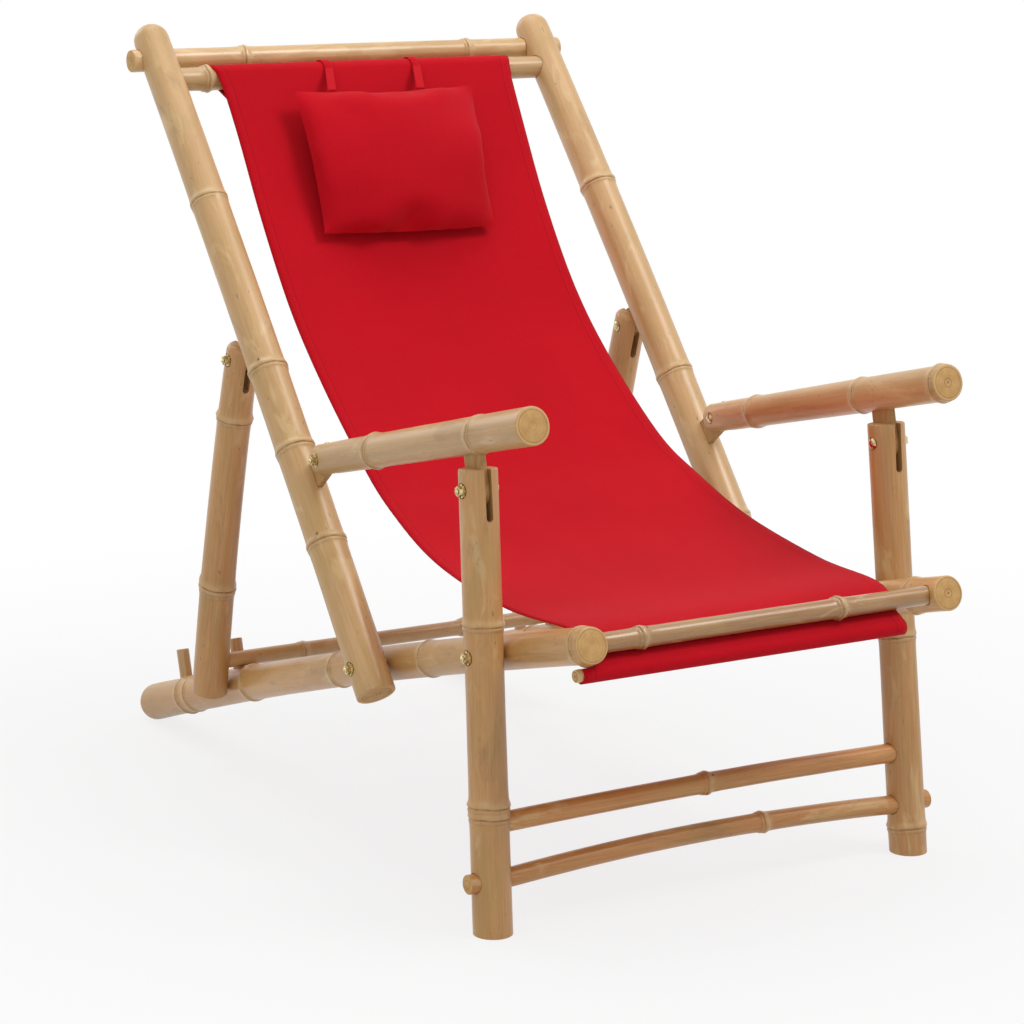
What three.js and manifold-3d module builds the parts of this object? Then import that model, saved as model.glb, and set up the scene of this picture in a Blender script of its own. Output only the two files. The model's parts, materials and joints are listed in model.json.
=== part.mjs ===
// A bamboo folding recliner. A red canvas sling hangs between two long side
// rails and two leaning back poles. The poles, armrests and front legs form a
// four-bar linkage on bolts, and a swinging prop holds the back against pegs
// in the rails. Millimetres, +Z up, the sitter faces -Y.
import * as THREE from 'three';
import { mergeVertices } from 'three/addons/utils/BufferGeometryUtils.js';
import Module from 'manifold-3d';

const wasm = await Module();
wasm.setup();

const degrees = THREE.MathUtils.degToRad;

// Fits between pieces
const fit = 0.3;
const sideClearance = 1.0;
const overrun = 20;

// Side rails, rising from the floor behind to the seat front
const railLength = 1092;
const railSlope = degrees(16.4);
const railSpread = 451;
const railRadii = [19, 20, 23.5];
const railBow = 10;
const railRearRound = 15;
const railWear = 1.6;
const railNodeShares = {
  right: [0.033, 0.3, 0.5275, 0.732, 0.884, 0.93],
  left: [0.05, 0.34, 0.58, 0.79, 0.93],
};

// Where the rails carry the other pieces, measured from their front ends
const kneeAt = 145;
const hipAt = 398;
const propStopFromRear = 293;
const frontBarAt = 18;
const frontBarRise = 0.5;

// Front crossbar, hem rod and the pegs that stop the prop
const frontBarRadius = 10.5;
const hemRodRadius = 6.5;
const hemRodShort = 74;
const hemRodOverhang = 14;
const pegRadius = 8;
const pegRise = 36;
const pegPitch = 80;
const pegCount = 3;
const tenonDepth = 12;

// Back poles with the hooks at their heads
const backLean = degrees(39.1);
const hipClearance = 2;
const poleFoot = 34;
const poleHead = 866;
const poleRadii = [22.3, 22, 21.3];
const poleBow = 7;
const poleHeadRound = 20;
const poleNodeShares = {
  right: [0.223, 0.347, 0.4725, 0.725],
  left: [0.2, 0.4095, 0.706],
};
const hookBelowHead = 42;
const hookBack = 9.5;
const topRodRadius = 13.5;
const topRodOverhang = 31.5;
const slingRodBelowHook = 37;
const slingRodRadius = 14;

// Flat tongues that carry the bolted forks
const tongueThickness = 7;
const tongueHalfWidth = 15;
const elbowAt = 228;
const elbowReach = 63;
const propPivotAt = 423;
const propPivotReach = 43;
const forkPlay = 0.5;

// Armrests
const armFront = 436;
const armBehind = 13;
const armRadii = [20, 19, 17.5];
const armDrop = 55;
const armInset = 3.5;
const armToeIn = 4.5;
const armNodeShares = { right: [0.265, 0.716], left: [0.068, 0.3455, 0.8065] };
const pegTongueHalfWidth = 16;
const pegTongueTip = 18;
const linkPlay = 2.3;

// Front legs
const legLean = degrees(5.9);
const legRadii = [21, 20.5, 20.5];
const wristAt = 172;
const legHead = 21.5;
const legSlotDepth = 54;
const legNodeShares = { right: [0.286, 0.309, 0.681], left: [0.1, 0.53] };
const upperStretcherAt = -176;
const lowerStretcherAt = -235;
const upperStretcherRadius = 11;
const lowerStretcherRadius = 10.5;
const upperStretcherBow = 3;
const lowerStretcherBow = 9;
const lowerStretcherOverhang = 8;

// Props behind the back
const propTail = 39;
const propHead = 19;
const propRadii = [21.5, 20.5, 19.5];
const propBow = 8;
const propSlotBelow = 37;
const propNodeShares = { right: [0.3, 0.315, 0.78], left: [0.164, 0.666] };
const propBarRadius = 9.5;
const propHeadRound = 8;

// Bolts, nuts and toothed washers
const boltRadius = 2.9;
const boltHeadRadius = 6.5;
const boltHeadHeight = 3.6;
const threadBeyond = 3;
const nutRadius = 5.7;
const nutHeight = 5;
const washerRadius = 7.8;
const washerRootRadius = 6.4;
const washerThickness = 1.2;
const washerTeeth = 8;
const seatDepth = 1.7;

// Bamboo details shared by all the canes
const edgeRound = 1.4;
const nodeRise = 0.8;
const nodeHalfLength = 7;

// Canvas sling
const slingThickness = 1.6;
const slingSideGap = 2.5;
const slingWidthShares = { right: [1, 0.985, 0.975, 0.985, 1, 1], left: [1.01, 1, 0.99, 0.977, 0.966, 0.86] };
const hemShares = { right: 0.973, left: 0.718 };
const backSlope = degrees(57.4);
const seamGap = 3;
const slingSag = 10;
const sleeveLength = 44;
const slingShares = [
  [0.064, 0.0345], [0.174, 0.0925], [0.291, 0.14], [0.401, 0.1625], [0.532, 0.1705],
  [0.618, 0.157], [0.729, 0.1271], [0.861, 0.0688], [0.957, 0.0115],
];

// Head pillow and its two straps
const pillowWidth = 250;
const pillowHeight = 187;
const pillowFrontCrown = 40;
const pillowBackCrown = 14;
const pillowLean = degrees(25.7);
const pillowTopDrop = 12;
const pillowTopForward = 57;
const pillowPinchShare = 0.05;
const strapWidth = 11;
const strapThickness = 1.6;
const strapPlaces = [-69, 53];
const strapTail = 60;

// Facets
const caneSides = 14;
const rodSides = 10;
const boreSides = 12;
const bowSteps = 4;
const roundSteps = 4;
const slotSteps = 5;
const hollowSteps = 26;

const bambooTan = '#c39f6f';
const bambooPale = '#d3b98a';
const canvasRed = '#b5141f';
const boltZinc = '#a39a7c';

function cane(colour = bambooTan) {
  return new THREE.MeshStandardMaterial({ color: colour, roughness: 0.42, metalness: 0 });
}

function canvas() {
  return new THREE.MeshStandardMaterial({ color: canvasRed, roughness: 0.9, metalness: 0 });
}

function plated() {
  return new THREE.MeshStandardMaterial({ color: boltZinc, roughness: 0.35, metalness: 1 });
}

// Closed solids and the cuts made in them
function solid(geometry) {
  const bare = geometry.clone();
  bare.deleteAttribute('normal');
  bare.deleteAttribute('uv');
  const welded = mergeVertices(bare);
  return new wasm.Manifold(new wasm.Mesh({
    numProp: 3,
    vertProperties: Float32Array.from(welded.attributes.position.array),
    triVerts: Uint32Array.from(welded.index.array),
  }));
}

function surface(body) {
  const mesh = body.getMesh();
  const geometry = new THREE.BufferGeometry();
  geometry.setAttribute('position', new THREE.BufferAttribute(Float32Array.from(mesh.vertProperties), 3));
  geometry.setIndex(Array.from(mesh.triVerts));
  geometry.computeVertexNormals();
  return geometry;
}

// Each cutter is a mesh placed in some group of the recliner. It is taken out
// of the piece where the two meet, and then out of its group.
function carve(piece, cutters) {
  piece.updateWorldMatrix(true, false);
  const toPiece = piece.matrixWorld.clone().invert();
  let body = solid(piece.geometry);
  for (const cutter of cutters) {
    cutter.updateWorldMatrix(true, false);
    const placed = cutter.geometry.clone().applyMatrix4(toPiece.clone().multiply(cutter.matrixWorld));
    body = body.subtract(solid(placed));
    cutter.removeFromParent();
  }
  piece.geometry = surface(body);
}

function cutter(group, geometry, x, y, z) {
  const mesh = new THREE.Mesh(geometry);
  mesh.position.set(x, y, z);
  group.add(mesh);
  return mesh;
}

// A bore's flats clear the round piece that fits in it
function boreRadius(radius) {
  return (radius + fit) / Math.cos(Math.PI / boreSides);
}

function boreAcross(group, radius, from, to, y, z) {
  const geometry = new THREE.CylinderGeometry(radius, radius, Math.abs(to - from), boreSides);
  geometry.rotateZ(Math.PI / 2);
  return cutter(group, geometry, (from + to) / 2, y, z);
}

// Outlines drawn in the side view (y to the right, z up), given a thickness across
const sideView = new THREE.Matrix4().makeBasis(
  new THREE.Vector3(0, 1, 0), new THREE.Vector3(0, 0, 1), new THREE.Vector3(1, 0, 0));

function sidePlate(outline, thickness) {
  const geometry = new THREE.ExtrudeGeometry(outline, { depth: thickness, bevelEnabled: false, curveSegments: slotSteps });
  geometry.translate(0, 0, -thickness / 2);
  return geometry.applyMatrix4(sideView);
}

// A slot with a round closed end at the origin, open toward +Y of its outline
function slotOutline(width, reach) {
  const outline = new THREE.Shape();
  outline.moveTo(-width / 2, reach);
  outline.lineTo(-width / 2, 0);
  outline.absarc(0, 0, width / 2, Math.PI, 2 * Math.PI, false);
  outline.lineTo(width / 2, reach);
  outline.closePath();
  return outline;
}

// A tongue with a round end at the origin, its root `reach` away toward -Y
function tongueOutline(halfWidth, tip, reach, holeRadius) {
  const outline = new THREE.Shape();
  outline.moveTo(-halfWidth, -reach);
  outline.lineTo(halfWidth, -reach);
  outline.lineTo(halfWidth, tip - halfWidth);
  outline.absarc(0, tip - halfWidth, halfWidth, 0, Math.PI, false);
  outline.closePath();
  const hole = new THREE.Path();
  hole.absarc(0, 0, holeRadius, 0, 2 * Math.PI, true);
  outline.holes.push(hole);
  return outline;
}

// A length of bamboo along +Z from the origin: the radius changes from its
// start through its middle to its end, it bows toward +Y, a raised ring marks
// each node, and both cut ends are rounded a little.
function caneRadius(radii, share) {
  const [start, middle, end] = radii;
  const second = share > 0.5;
  return THREE.MathUtils.lerp(second ? middle : start, second ? end : middle, second ? 2 * share - 1 : 2 * share);
}

function caneOffset({ length, bow = 0, straight = 0 }, z) {
  const share = THREE.MathUtils.clamp((z - straight) / (length - 2 * straight), 0, 1);
  return 4 * bow * share * (1 - share);
}

function caneGeometry(shape) {
  const { length, radii, nodes = [], sides = caneSides, straight = 0 } = shape;
  const { startRound = edgeRound, endRound = edgeRound } = shape;
  const stations = [];
  const station = (z, change) => stations.push({ z, radius: caneRadius(radii, z / length) + change });
  for (const share of nodes) {
    station(share * length - nodeHalfLength, 0);
    station(share * length, nodeRise);
    station(share * length + nodeHalfLength, 0);
  }
  for (let step = 1; shape.bow && step <= bowSteps; step++) {
    const z = length * step / (bowSteps + 1);
    const clear = nodes.every((share) => Math.abs(share * length - z) > 2 * nodeHalfLength);
    if (clear) station(z, 0);
  }
  if (straight > 0) {
    station(straight, 0);
    station(length - straight, 0);
  }
  for (const [round, from, inward] of [[startRound, 0, 1], [endRound, length, -1]]) {
    const steps = round > edgeRound ? roundSteps : 1;
    for (let step = 0; step <= steps; step++) {
      const turn = Math.PI / 2 * step / steps;
      station(from + inward * round * (1 - Math.sin(turn)), -round * (1 - Math.cos(turn)));
    }
  }
  stations.sort((a, b) => a.z - b.z);
  const positions = [];
  const index = [];
  for (const { z, radius } of stations) {
    for (let side = 0; side < sides; side++) {
      const angle = 2 * Math.PI * side / sides;
      positions.push(radius * Math.cos(angle), caneOffset(shape, z) + radius * Math.sin(angle), z);
    }
  }
  for (let ring = 0; ring < stations.length - 1; ring++) {
    for (let side = 0; side < sides; side++) {
      const a = ring * sides + side;
      const b = ring * sides + (side + 1) % sides;
      index.push(a, b, b + sides, a, b + sides, a + sides);
    }
  }
  const startCentre = positions.length / 3;
  const endCentre = startCentre + 1;
  const lastRing = (stations.length - 1) * sides;
  positions.push(0, caneOffset(shape, 0), 0, 0, caneOffset(shape, length), length);
  for (let side = 0; side < sides; side++) {
    index.push(startCentre, (side + 1) % sides, side);
    index.push(endCentre, lastRing + side, lastRing + (side + 1) % sides);
  }
  const geometry = new THREE.BufferGeometry();
  geometry.setAttribute('position', new THREE.Float32BufferAttribute(positions, 3));
  geometry.setIndex(index);
  geometry.computeVertexNormals();
  return geometry;
}

function canePiece(group, name, shape, colour) {
  const piece = new THREE.Mesh(caneGeometry(shape), cane(colour));
  piece.name = name;
  group.add(piece);
  return piece;
}

// A cane laid across the recliner between x = -half and x = +half
function crossPiece(group, name, half, y, z, shape, colour) {
  const piece = canePiece(group, name, { ...shape, length: 2 * half, sides: rodSides }, colour);
  piece.position.set(-half, y, z);
  piece.rotation.y = Math.PI / 2;
  return piece;
}

// The two sides, with the sitter's left toward +X
const sides = [{ hand: 'right', sign: -1 }, { hand: 'left', sign: 1 }];

const recliner = new THREE.Group();
const seatFrame = new THREE.Group();
const backFrame = new THREE.Group();
const legFrame = new THREE.Group();
const armFrame = new THREE.Group();
const propFrame = new THREE.Group();
recliner.add(seatFrame, backFrame, legFrame, armFrame, propFrame);

// A point of a leaning group, seen from the side as [y, z]
function sidePoint(group, y, z) {
  group.updateWorldMatrix(true, false);
  const point = new THREE.Vector3(0, y, z).applyMatrix4(group.matrixWorld);
  return [point.y, point.z];
}

// Seat frame: its origin is the middle of the rails' front ends, its y runs
// down the rails, and its height lets the worn rear ends stand on the floor
const railRearRadius = railRadii[2];
const railHeight = (railLength - railRearRound) * Math.sin(railSlope)
  + (railRearRadius - railRearRound) * Math.cos(railSlope) + railRearRound - railWear;
seatFrame.position.set(0, 0, railHeight);
seatFrame.rotation.x = -railSlope;

const railShape = {
  length: railLength, radii: railRadii, bow: -railBow, endRound: railRearRound,
};
const railHalf = railSpread / 2;
const railCentre = (y) => -caneOffset(railShape, y);
const railRadius = (y) => caneRadius(railRadii, y / railLength);
const propStopAt = railLength - propStopFromRear;
const kneeZ = railCentre(kneeAt);
const hipZ = railCentre(hipAt);

// Back frame: its origin is the hip pivot and its z runs up the poles
const hip = sidePoint(seatFrame, hipAt, hipZ);
backFrame.position.set(0, ...hip);
backFrame.rotation.x = -backLean;

const poleLength = poleFoot + poleHead;
const poleShape = { length: poleLength, radii: poleRadii, bow: -poleBow, endRound: poleHeadRound };
const poleOffset = -caneOffset(poleShape, poleFoot);
const poleCentre = (z) => poleOffset + caneOffset(poleShape, z + poleFoot);
const poleRadius = (z) => caneRadius(poleRadii, (z + poleFoot) / poleLength);
const poleHalf = railHalf + railRadius(hipAt) + hipClearance + poleRadius(0);
const hookAt = poleHead - hookBelowHead;
const slingRodAt = hookAt - slingRodBelowHook;

// Leg frame: its origin is the knee pivot and its z runs up the legs
const knee = sidePoint(seatFrame, kneeAt, kneeZ);
legFrame.position.set(0, ...knee);
legFrame.rotation.x = -legLean;

// Arm frame: its origin is the elbow pivot and its y runs back along the
// armrests, which lie a set distance above the wrist pivot
const elbow = sidePoint(backFrame, -elbowReach, elbowAt);
const wrist = sidePoint(legFrame, 0, wristAt);
const armRun = elbow[0] - wrist[0];
const armRise = wrist[1] - elbow[1];
const armSlope = Math.atan2(armRise, armRun) + Math.asin(armDrop / Math.hypot(armRun, armRise));
armFrame.position.set(0, ...elbow);
armFrame.rotation.x = -armSlope;

// Prop frame: its origin is the pivot behind the back and its z runs up the
// props, whose crossbar lies on the rails in front of the first pegs
const propBarLift = railRadius(propStopAt) + propBarRadius + 2 * fit;
const propPivot = sidePoint(backFrame, propPivotReach, propPivotAt);
const propSeat = sidePoint(seatFrame, propStopAt, railCentre(propStopAt) + propBarLift);
const propReach = Math.hypot(propPivot[0] - propSeat[0], propPivot[1] - propSeat[1]);
propFrame.position.set(0, ...propPivot);
propFrame.rotation.x = Math.atan2(propSeat[0] - propPivot[0], propPivot[1] - propSeat[1]);

const floor = new THREE.BoxGeometry(4 * poleHalf, 4 * railLength, railLength);
const floorCutter = () => cutter(recliner, floor, 0, 0, -railLength / 2);

// Bolts lie across a fork: a domed head on the inner side, and a toothed
// washer and nut under the pointed thread on the outer side
function bolt(group, name, sign, inner, outer, y, z) {
  const headFrom = inner - boltHeadHeight;
  const threadTo = outer + washerThickness + nutHeight + threadBeyond;
  const profile = [
    [0, headFrom],
    [boltHeadRadius * 0.6, headFrom + boltHeadHeight * 0.15],
    [boltHeadRadius, headFrom + boltHeadHeight * 0.6],
    [boltHeadRadius, inner],
    [boltRadius, inner],
    [boltRadius, threadTo - boltRadius * 0.7],
    [boltRadius * 0.35, threadTo],
    [0, threadTo],
  ].map(([radius, along]) => new THREE.Vector2(radius, along));
  const geometry = new THREE.LatheGeometry(profile, rodSides);
  geometry.rotateZ(-sign * Math.PI / 2);
  const piece = new THREE.Mesh(geometry, plated());
  piece.name = name;
  piece.position.set(0, y, z);
  group.add(piece);
  return piece;
}

function ringOutline(points, holeRadius) {
  const outline = new THREE.Shape(points);
  const hole = new THREE.Path();
  hole.absarc(0, 0, holeRadius, 0, 2 * Math.PI, true);
  outline.holes.push(hole);
  return outline;
}

function starPoints(count, radii) {
  return Array.from({ length: count * radii.length }, (_, point) => {
    const angle = 2 * Math.PI * point / (count * radii.length);
    const radius = radii[point % radii.length];
    return new THREE.Vector2(radius * Math.cos(angle), radius * Math.sin(angle));
  });
}

function nut(group, name, sign, outer, y, z) {
  const bore = boreRadius(boltRadius);
  const settings = { bevelEnabled: false, curveSegments: slotSteps };
  const washer = new THREE.ExtrudeGeometry(
    ringOutline(starPoints(washerTeeth, [washerRadius, washerRootRadius]), bore),
    { ...settings, depth: washerThickness });
  const hexagon = new THREE.ExtrudeGeometry(
    ringOutline(starPoints(6, [nutRadius]), bore), { ...settings, depth: washerThickness + nutHeight });
  const geometry = surface(solid(washer).add(solid(hexagon)));
  geometry.rotateY(sign * Math.PI / 2);
  const piece = new THREE.Mesh(geometry, plated());
  piece.name = name;
  piece.position.set(sign * (outer + fit), y, z);
  group.add(piece);
  return piece;
}

// A bolted joint: the bolt and nut go into `carrier`, and the cutters that
// bore and face the pieces come back for the caller to use
function boltJoint(carrier, label, { hand, sign }, inner, outer, y, z) {
  bolt(carrier, `bolt_${label}_${hand}`, sign, inner - fit, outer, y, z);
  nut(carrier, `nut_${label}_${hand}`, sign, outer, y, z);
}

const boltBore = (group, sign, y, z, centre) => boreAcross(
  group, boreRadius(boltRadius), sign * (centre - overrun * 3), sign * (centre + overrun * 3), y, z);
const facing = (group, sign, radius, from, y, z, outward) => boreAcross(
  group, boreRadius(radius), sign * from, sign * (from + outward * overrun), y, z);

// Rails, with everything that is set into them
const frontBarInner = railHalf - railRadius(frontBarAt) + tenonDepth;
const frontBarZ = railCentre(frontBarAt) + frontBarRise;
const propBarInner = poleHalf - caneRadius(propRadii, 0) + tenonDepth;
const pegPlaces = Array.from({ length: pegCount }, (_, peg) =>
  propStopAt + propBarRadius + 2 * fit + pegRadius + peg * pegPitch);

const legHalfAtKnee = railHalf + railRadius(kneeAt) + sideClearance + legRadii[1];
const elbowHalf = poleHalf - armInset;
const wristHalf = elbowHalf - armToeIn * Math.hypot(armRun, armRise) / armFront;
const legSplay = Math.atan2(legHalfAtKnee - wristHalf, wristAt);

for (const { hand, sign } of sides) {
  const rail = canePiece(seatFrame, `rail_${hand}`, { ...railShape, nodes: railNodeShares[hand] });
  rail.position.set(sign * railHalf, 0, 0);
  rail.rotation.x = -Math.PI / 2;
  const cuts = [
    boreAcross(seatFrame, boreRadius(frontBarRadius), 0, sign * (frontBarInner + fit), frontBarAt, frontBarZ),
    boltBore(seatFrame, sign, kneeAt, kneeZ, railHalf),
    boltBore(seatFrame, sign, hipAt, hipZ, railHalf),
    facing(seatFrame, sign, boltHeadRadius, railHalf - railRadius(kneeAt) + seatDepth, kneeAt, kneeZ, -1),
    facing(seatFrame, sign, boltHeadRadius, railHalf - railRadius(hipAt) + seatDepth, hipAt, hipZ, -1),
    floorCutter(),
  ];
  pegPlaces.forEach((place, number) => {
    const foot = railCentre(place) + railRadius(place) - tenonDepth;
    const peg = canePiece(seatFrame, `prop_peg_${number + 1}_${hand}`, {
      length: tenonDepth + pegRise, radii: [pegRadius, pegRadius, pegRadius], sides: rodSides,
    });
    peg.position.set(sign * railHalf, place, foot);
    const socket = new THREE.CylinderGeometry(
      boreRadius(pegRadius), boreRadius(pegRadius), tenonDepth + overrun, boreSides);
    socket.rotateX(Math.PI / 2);
    cuts.push(cutter(seatFrame, socket, sign * railHalf, place, foot - fit + (tenonDepth + overrun) / 2));
  });
  carve(rail, cuts);
}

crossPiece(seatFrame, 'front_crossbar', frontBarInner, frontBarAt, frontBarZ, {
  radii: [frontBarRadius, frontBarRadius, frontBarRadius], nodes: [0.14, 0.71],
});

const hemRodZ = railCentre(frontBarAt) - railRadius(frontBarAt) - nodeRise - slingThickness - 3 * fit - hemRodRadius;
const hemRodHalf = railHalf + hemRodOverhang;
const hemRodPiece = canePiece(seatFrame, 'hem_rod', {
  radii: [hemRodRadius, hemRodRadius, hemRodRadius], length: 2 * hemRodHalf - hemRodShort, sides: rodSides,
});
hemRodPiece.position.set(-hemRodHalf, frontBarAt, hemRodZ);
hemRodPiece.rotation.y = Math.PI / 2;

// Back poles: a hook notch and a rounded head at the top, a socket for the
// sling rod, and mortises for the tongues in front and behind
const tongueRoot = tenonDepth;
const topRodHalf = poleHalf + topRodOverhang;
const slingRodHalf = poleHalf - poleRadius(slingRodAt) + tenonDepth;

function hookCutter(group, sign) {
  const radius = boreRadius(topRodRadius);
  const geometry = sidePlate(slotOutline(2 * radius, 2 * poleRadii[2]), 2 * (poleRadii[2] + overrun));
  const notch = cutter(group, geometry, sign * poleHalf, hookBack, hookAt);
  notch.rotation.x = -Math.PI / 2;
  return notch;
}

// A tongue plate stands out square from the pole, forward (-1) or back (+1),
// toward the pivot at its round end
function tongue(group, name, x, pivotY, pivotZ, rootY, tip) {
  const reach = Math.abs(pivotY - rootY);
  const outline = tongueOutline(tongueHalfWidth, tip, reach, boreRadius(boltRadius));
  const piece = new THREE.Mesh(sidePlate(outline, tongueThickness), cane(bambooPale));
  piece.name = name;
  piece.position.set(x, pivotY, pivotZ);
  piece.rotation.x = pivotY < rootY ? Math.PI / 2 : -Math.PI / 2;
  group.add(piece);
  return piece;
}

function mortise(group, x, rootY, z, halfWidth, outward) {
  const depth = overrun * 2;
  const geometry = new THREE.BoxGeometry(tongueThickness + 2 * fit, depth, 2 * (halfWidth + fit));
  return cutter(group, geometry, x, rootY + outward * (depth / 2 - fit), z);
}

const elbowRootY = poleCentre(elbowAt) - poleRadius(elbowAt) + tongueRoot;
const propRootY = poleCentre(propPivotAt) + poleRadius(propPivotAt) - tongueRoot;

for (const { hand, sign } of sides) {
  const pole = canePiece(backFrame, `back_pole_${hand}`, { ...poleShape, nodes: poleNodeShares[hand] });
  pole.position.set(sign * poleHalf, poleOffset, -poleFoot);
  tongue(backFrame, `elbow_tongue_${hand}`, sign * elbowHalf, -elbowReach, elbowAt, elbowRootY, tongueHalfWidth);
  tongue(backFrame, `prop_tongue_${hand}`, sign * poleHalf, propPivotReach, propPivotAt, propRootY, tongueHalfWidth);
  carve(pole, [
    hookCutter(backFrame, sign),
    boreAcross(backFrame, boreRadius(slingRodRadius), 0, sign * (slingRodHalf + fit),
      poleCentre(slingRodAt), slingRodAt),
    boltBore(backFrame, sign, 0, 0, poleHalf),
    facing(backFrame, sign, washerRadius, poleHalf + poleRadius(0) - seatDepth, 0, 0, 1),
    mortise(backFrame, sign * elbowHalf, elbowRootY, elbowAt, tongueHalfWidth, -1),
    mortise(backFrame, sign * poleHalf, propRootY, propPivotAt, tongueHalfWidth, 1),
  ]);
  boltJoint(seatFrame, 'hip', { hand, sign }, railHalf - railRadius(hipAt) + seatDepth,
    poleHalf + poleRadius(0) - seatDepth, hipAt, hipZ);
}

crossPiece(backFrame, 'top_rod', topRodHalf, hookBack, hookAt, {
  radii: [topRodRadius, topRodRadius, topRodRadius - fit], nodes: [0.234, 0.778],
});
const slingRodY = poleCentre(slingRodAt);
crossPiece(backFrame, 'sling_rod', slingRodHalf, slingRodY, slingRodAt, {
  radii: [slingRodRadius, slingRodRadius, slingRodRadius], nodes: [0.082],
});

// Front legs: splayed a little, forked at the top and sawn level at the floor
const legFoot = knee[1] / Math.cos(legLean);
const legExtra = legRadii[0];
const legRise = legHead + wristAt + legFoot + legExtra;
const legShape = { length: legRise / Math.cos(legSplay), radii: legRadii };
const legHalf = (z) => legHalfAtKnee - z * Math.tan(legSplay);
const forkWidth = tongueThickness + 2 * forkPlay;
const upperStretcherHalf = legHalf(upperStretcherAt) - legRadii[1] + tenonDepth;
const lowerStretcherHalf = legHalf(lowerStretcherAt) + legRadii[0] + lowerStretcherOverhang;

function forkCutter(group, x, depthBelow, z) {
  const width = forkWidth;
  const outline = slotOutline(width, depthBelow + 2 * overrun);
  const geometry = new THREE.ExtrudeGeometry(outline, { depth: 4 * overrun, bevelEnabled: false, curveSegments: slotSteps });
  geometry.translate(0, 0, -2 * overrun);
  geometry.rotateX(Math.PI / 2);
  return cutter(group, geometry, x, 0, z - depthBelow + width / 2);
}

for (const { hand, sign } of sides) {
  const leg = canePiece(legFrame, `front_leg_${hand}`, { ...legShape, nodes: legNodeShares[hand] });
  const footZ = -legFoot - legExtra;
  leg.position.set(sign * legHalf(footZ), 0, footZ);
  leg.rotation.y = -sign * legSplay;
  carve(leg, [
    floorCutter(),
    forkCutter(legFrame, sign * wristHalf, legSlotDepth - legHead, wristAt),
    boltBore(legFrame, sign, 0, 0, legHalfAtKnee),
    boltBore(legFrame, sign, 0, wristAt, wristHalf),
    facing(legFrame, sign, washerRadius, legHalfAtKnee + legRadii[1] - seatDepth, 0, 0, 1),
    facing(legFrame, sign, washerRadius, wristHalf + legRadii[2] - seatDepth, 0, wristAt, 1),
    facing(legFrame, sign, boltHeadRadius, wristHalf - legRadii[2] + seatDepth, 0, wristAt, -1),
    boreAcross(legFrame, boreRadius(upperStretcherRadius), 0, sign * (upperStretcherHalf + fit), 0, upperStretcherAt),
    boreAcross(legFrame, boreRadius(lowerStretcherRadius), 0, sign * (lowerStretcherHalf + overrun), 0, lowerStretcherAt),
  ]);
  boltJoint(seatFrame, 'knee', { hand, sign }, railHalf - railRadius(kneeAt) + seatDepth,
    legHalfAtKnee + legRadii[1] - seatDepth, kneeAt, kneeZ);
  boltJoint(legFrame, 'wrist', { hand, sign }, wristHalf - legRadii[2] + seatDepth,
    wristHalf + legRadii[2] - seatDepth, 0, wristAt);
}

// Stretchers bow up between the legs and lie straight inside them
function stretcher(name, half, radius, z, bow, nodes) {
  const straight = half - legHalf(z) + legRadii[0] + fit;
  const piece = crossPiece(legFrame, name, half, 0, z, { radii: [radius, radius, radius], nodes, bow, straight });
  piece.geometry.rotateZ(Math.PI / 2);
}
stretcher('stretcher_upper', upperStretcherHalf, upperStretcherRadius, upperStretcherAt, upperStretcherBow, [0.499]);
stretcher('stretcher_lower', lowerStretcherHalf, lowerStretcherRadius, lowerStretcherAt, lowerStretcherBow, [0.62]);

// Armrests: toed in to the front, forked round the elbow tongue, with a flat
// peg underneath that drops into the leg's fork
const armLength = armFront + armBehind;
const armShape = { length: armLength, radii: armRadii };
const armToe = Math.atan2(armToeIn, armFront);
const armPegAt = -Math.sqrt(armRun ** 2 + armRise ** 2 - armDrop ** 2);
const armPegRoot = caneRadius(armRadii, 1 + armPegAt / armLength) - tongueRoot;

for (const { hand, sign } of sides) {
  const arm = canePiece(armFrame, `armrest_${hand}`, { ...armShape, nodes: armNodeShares[hand] });
  arm.position.set(sign * (elbowHalf - armFront * Math.tan(armToe)), -armFront, 0);
  arm.rotation.set(-Math.PI / 2, 0, 0);
  arm.rotateY(sign * armToe);
  const rearSlot = new THREE.ExtrudeGeometry(slotOutline(forkWidth, 3 * overrun), {
    depth: 4 * overrun, bevelEnabled: false, curveSegments: slotSteps,
  });
  rearSlot.translate(0, -tongueHalfWidth - forkWidth / 2, -2 * overrun);
  const pegMortise = new THREE.BoxGeometry(
    tongueThickness + 2 * fit, 2 * (pegTongueHalfWidth + fit), 2 * overrun);
  const outline = tongueOutline(
    pegTongueHalfWidth, pegTongueTip, armDrop - armPegRoot, boreRadius(boltRadius) + linkPlay);
  const peg = new THREE.Mesh(sidePlate(outline, tongueThickness), cane(bambooPale));
  peg.name = `armrest_peg_${hand}`;
  peg.position.set(sign * wristHalf, armPegAt, -armDrop);
  peg.rotation.x = Math.PI;
  armFrame.add(peg);
  carve(arm, [
    cutter(armFrame, rearSlot, sign * elbowHalf, 0, 0),
    boltBore(armFrame, sign, 0, 0, elbowHalf),
    facing(armFrame, sign, washerRadius, elbowHalf + armRadii[2] - seatDepth, 0, 0, 1),
    facing(armFrame, sign, boltHeadRadius, elbowHalf - armRadii[2] + seatDepth, 0, 0, -1),
    cutter(armFrame, pegMortise, sign * wristHalf, armPegAt, -armPegRoot + fit - overrun),
  ]);
  boltJoint(armFrame, 'elbow', { hand, sign }, elbowHalf - armRadii[2] + seatDepth,
    elbowHalf + armRadii[2] - seatDepth, 0, 0);
}

// Props: forked round the tongues behind the poles, joined by the crossbar
const propLength = propReach + propTail + propHead;
const propShape = {
  length: propLength, radii: propRadii, bow: propBow, endRound: propHeadRound,
};
const propOffset = -caneOffset(propShape, propReach + propTail);
const propCentre = (z) => propOffset + caneOffset(propShape, z + propReach + propTail);

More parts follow.
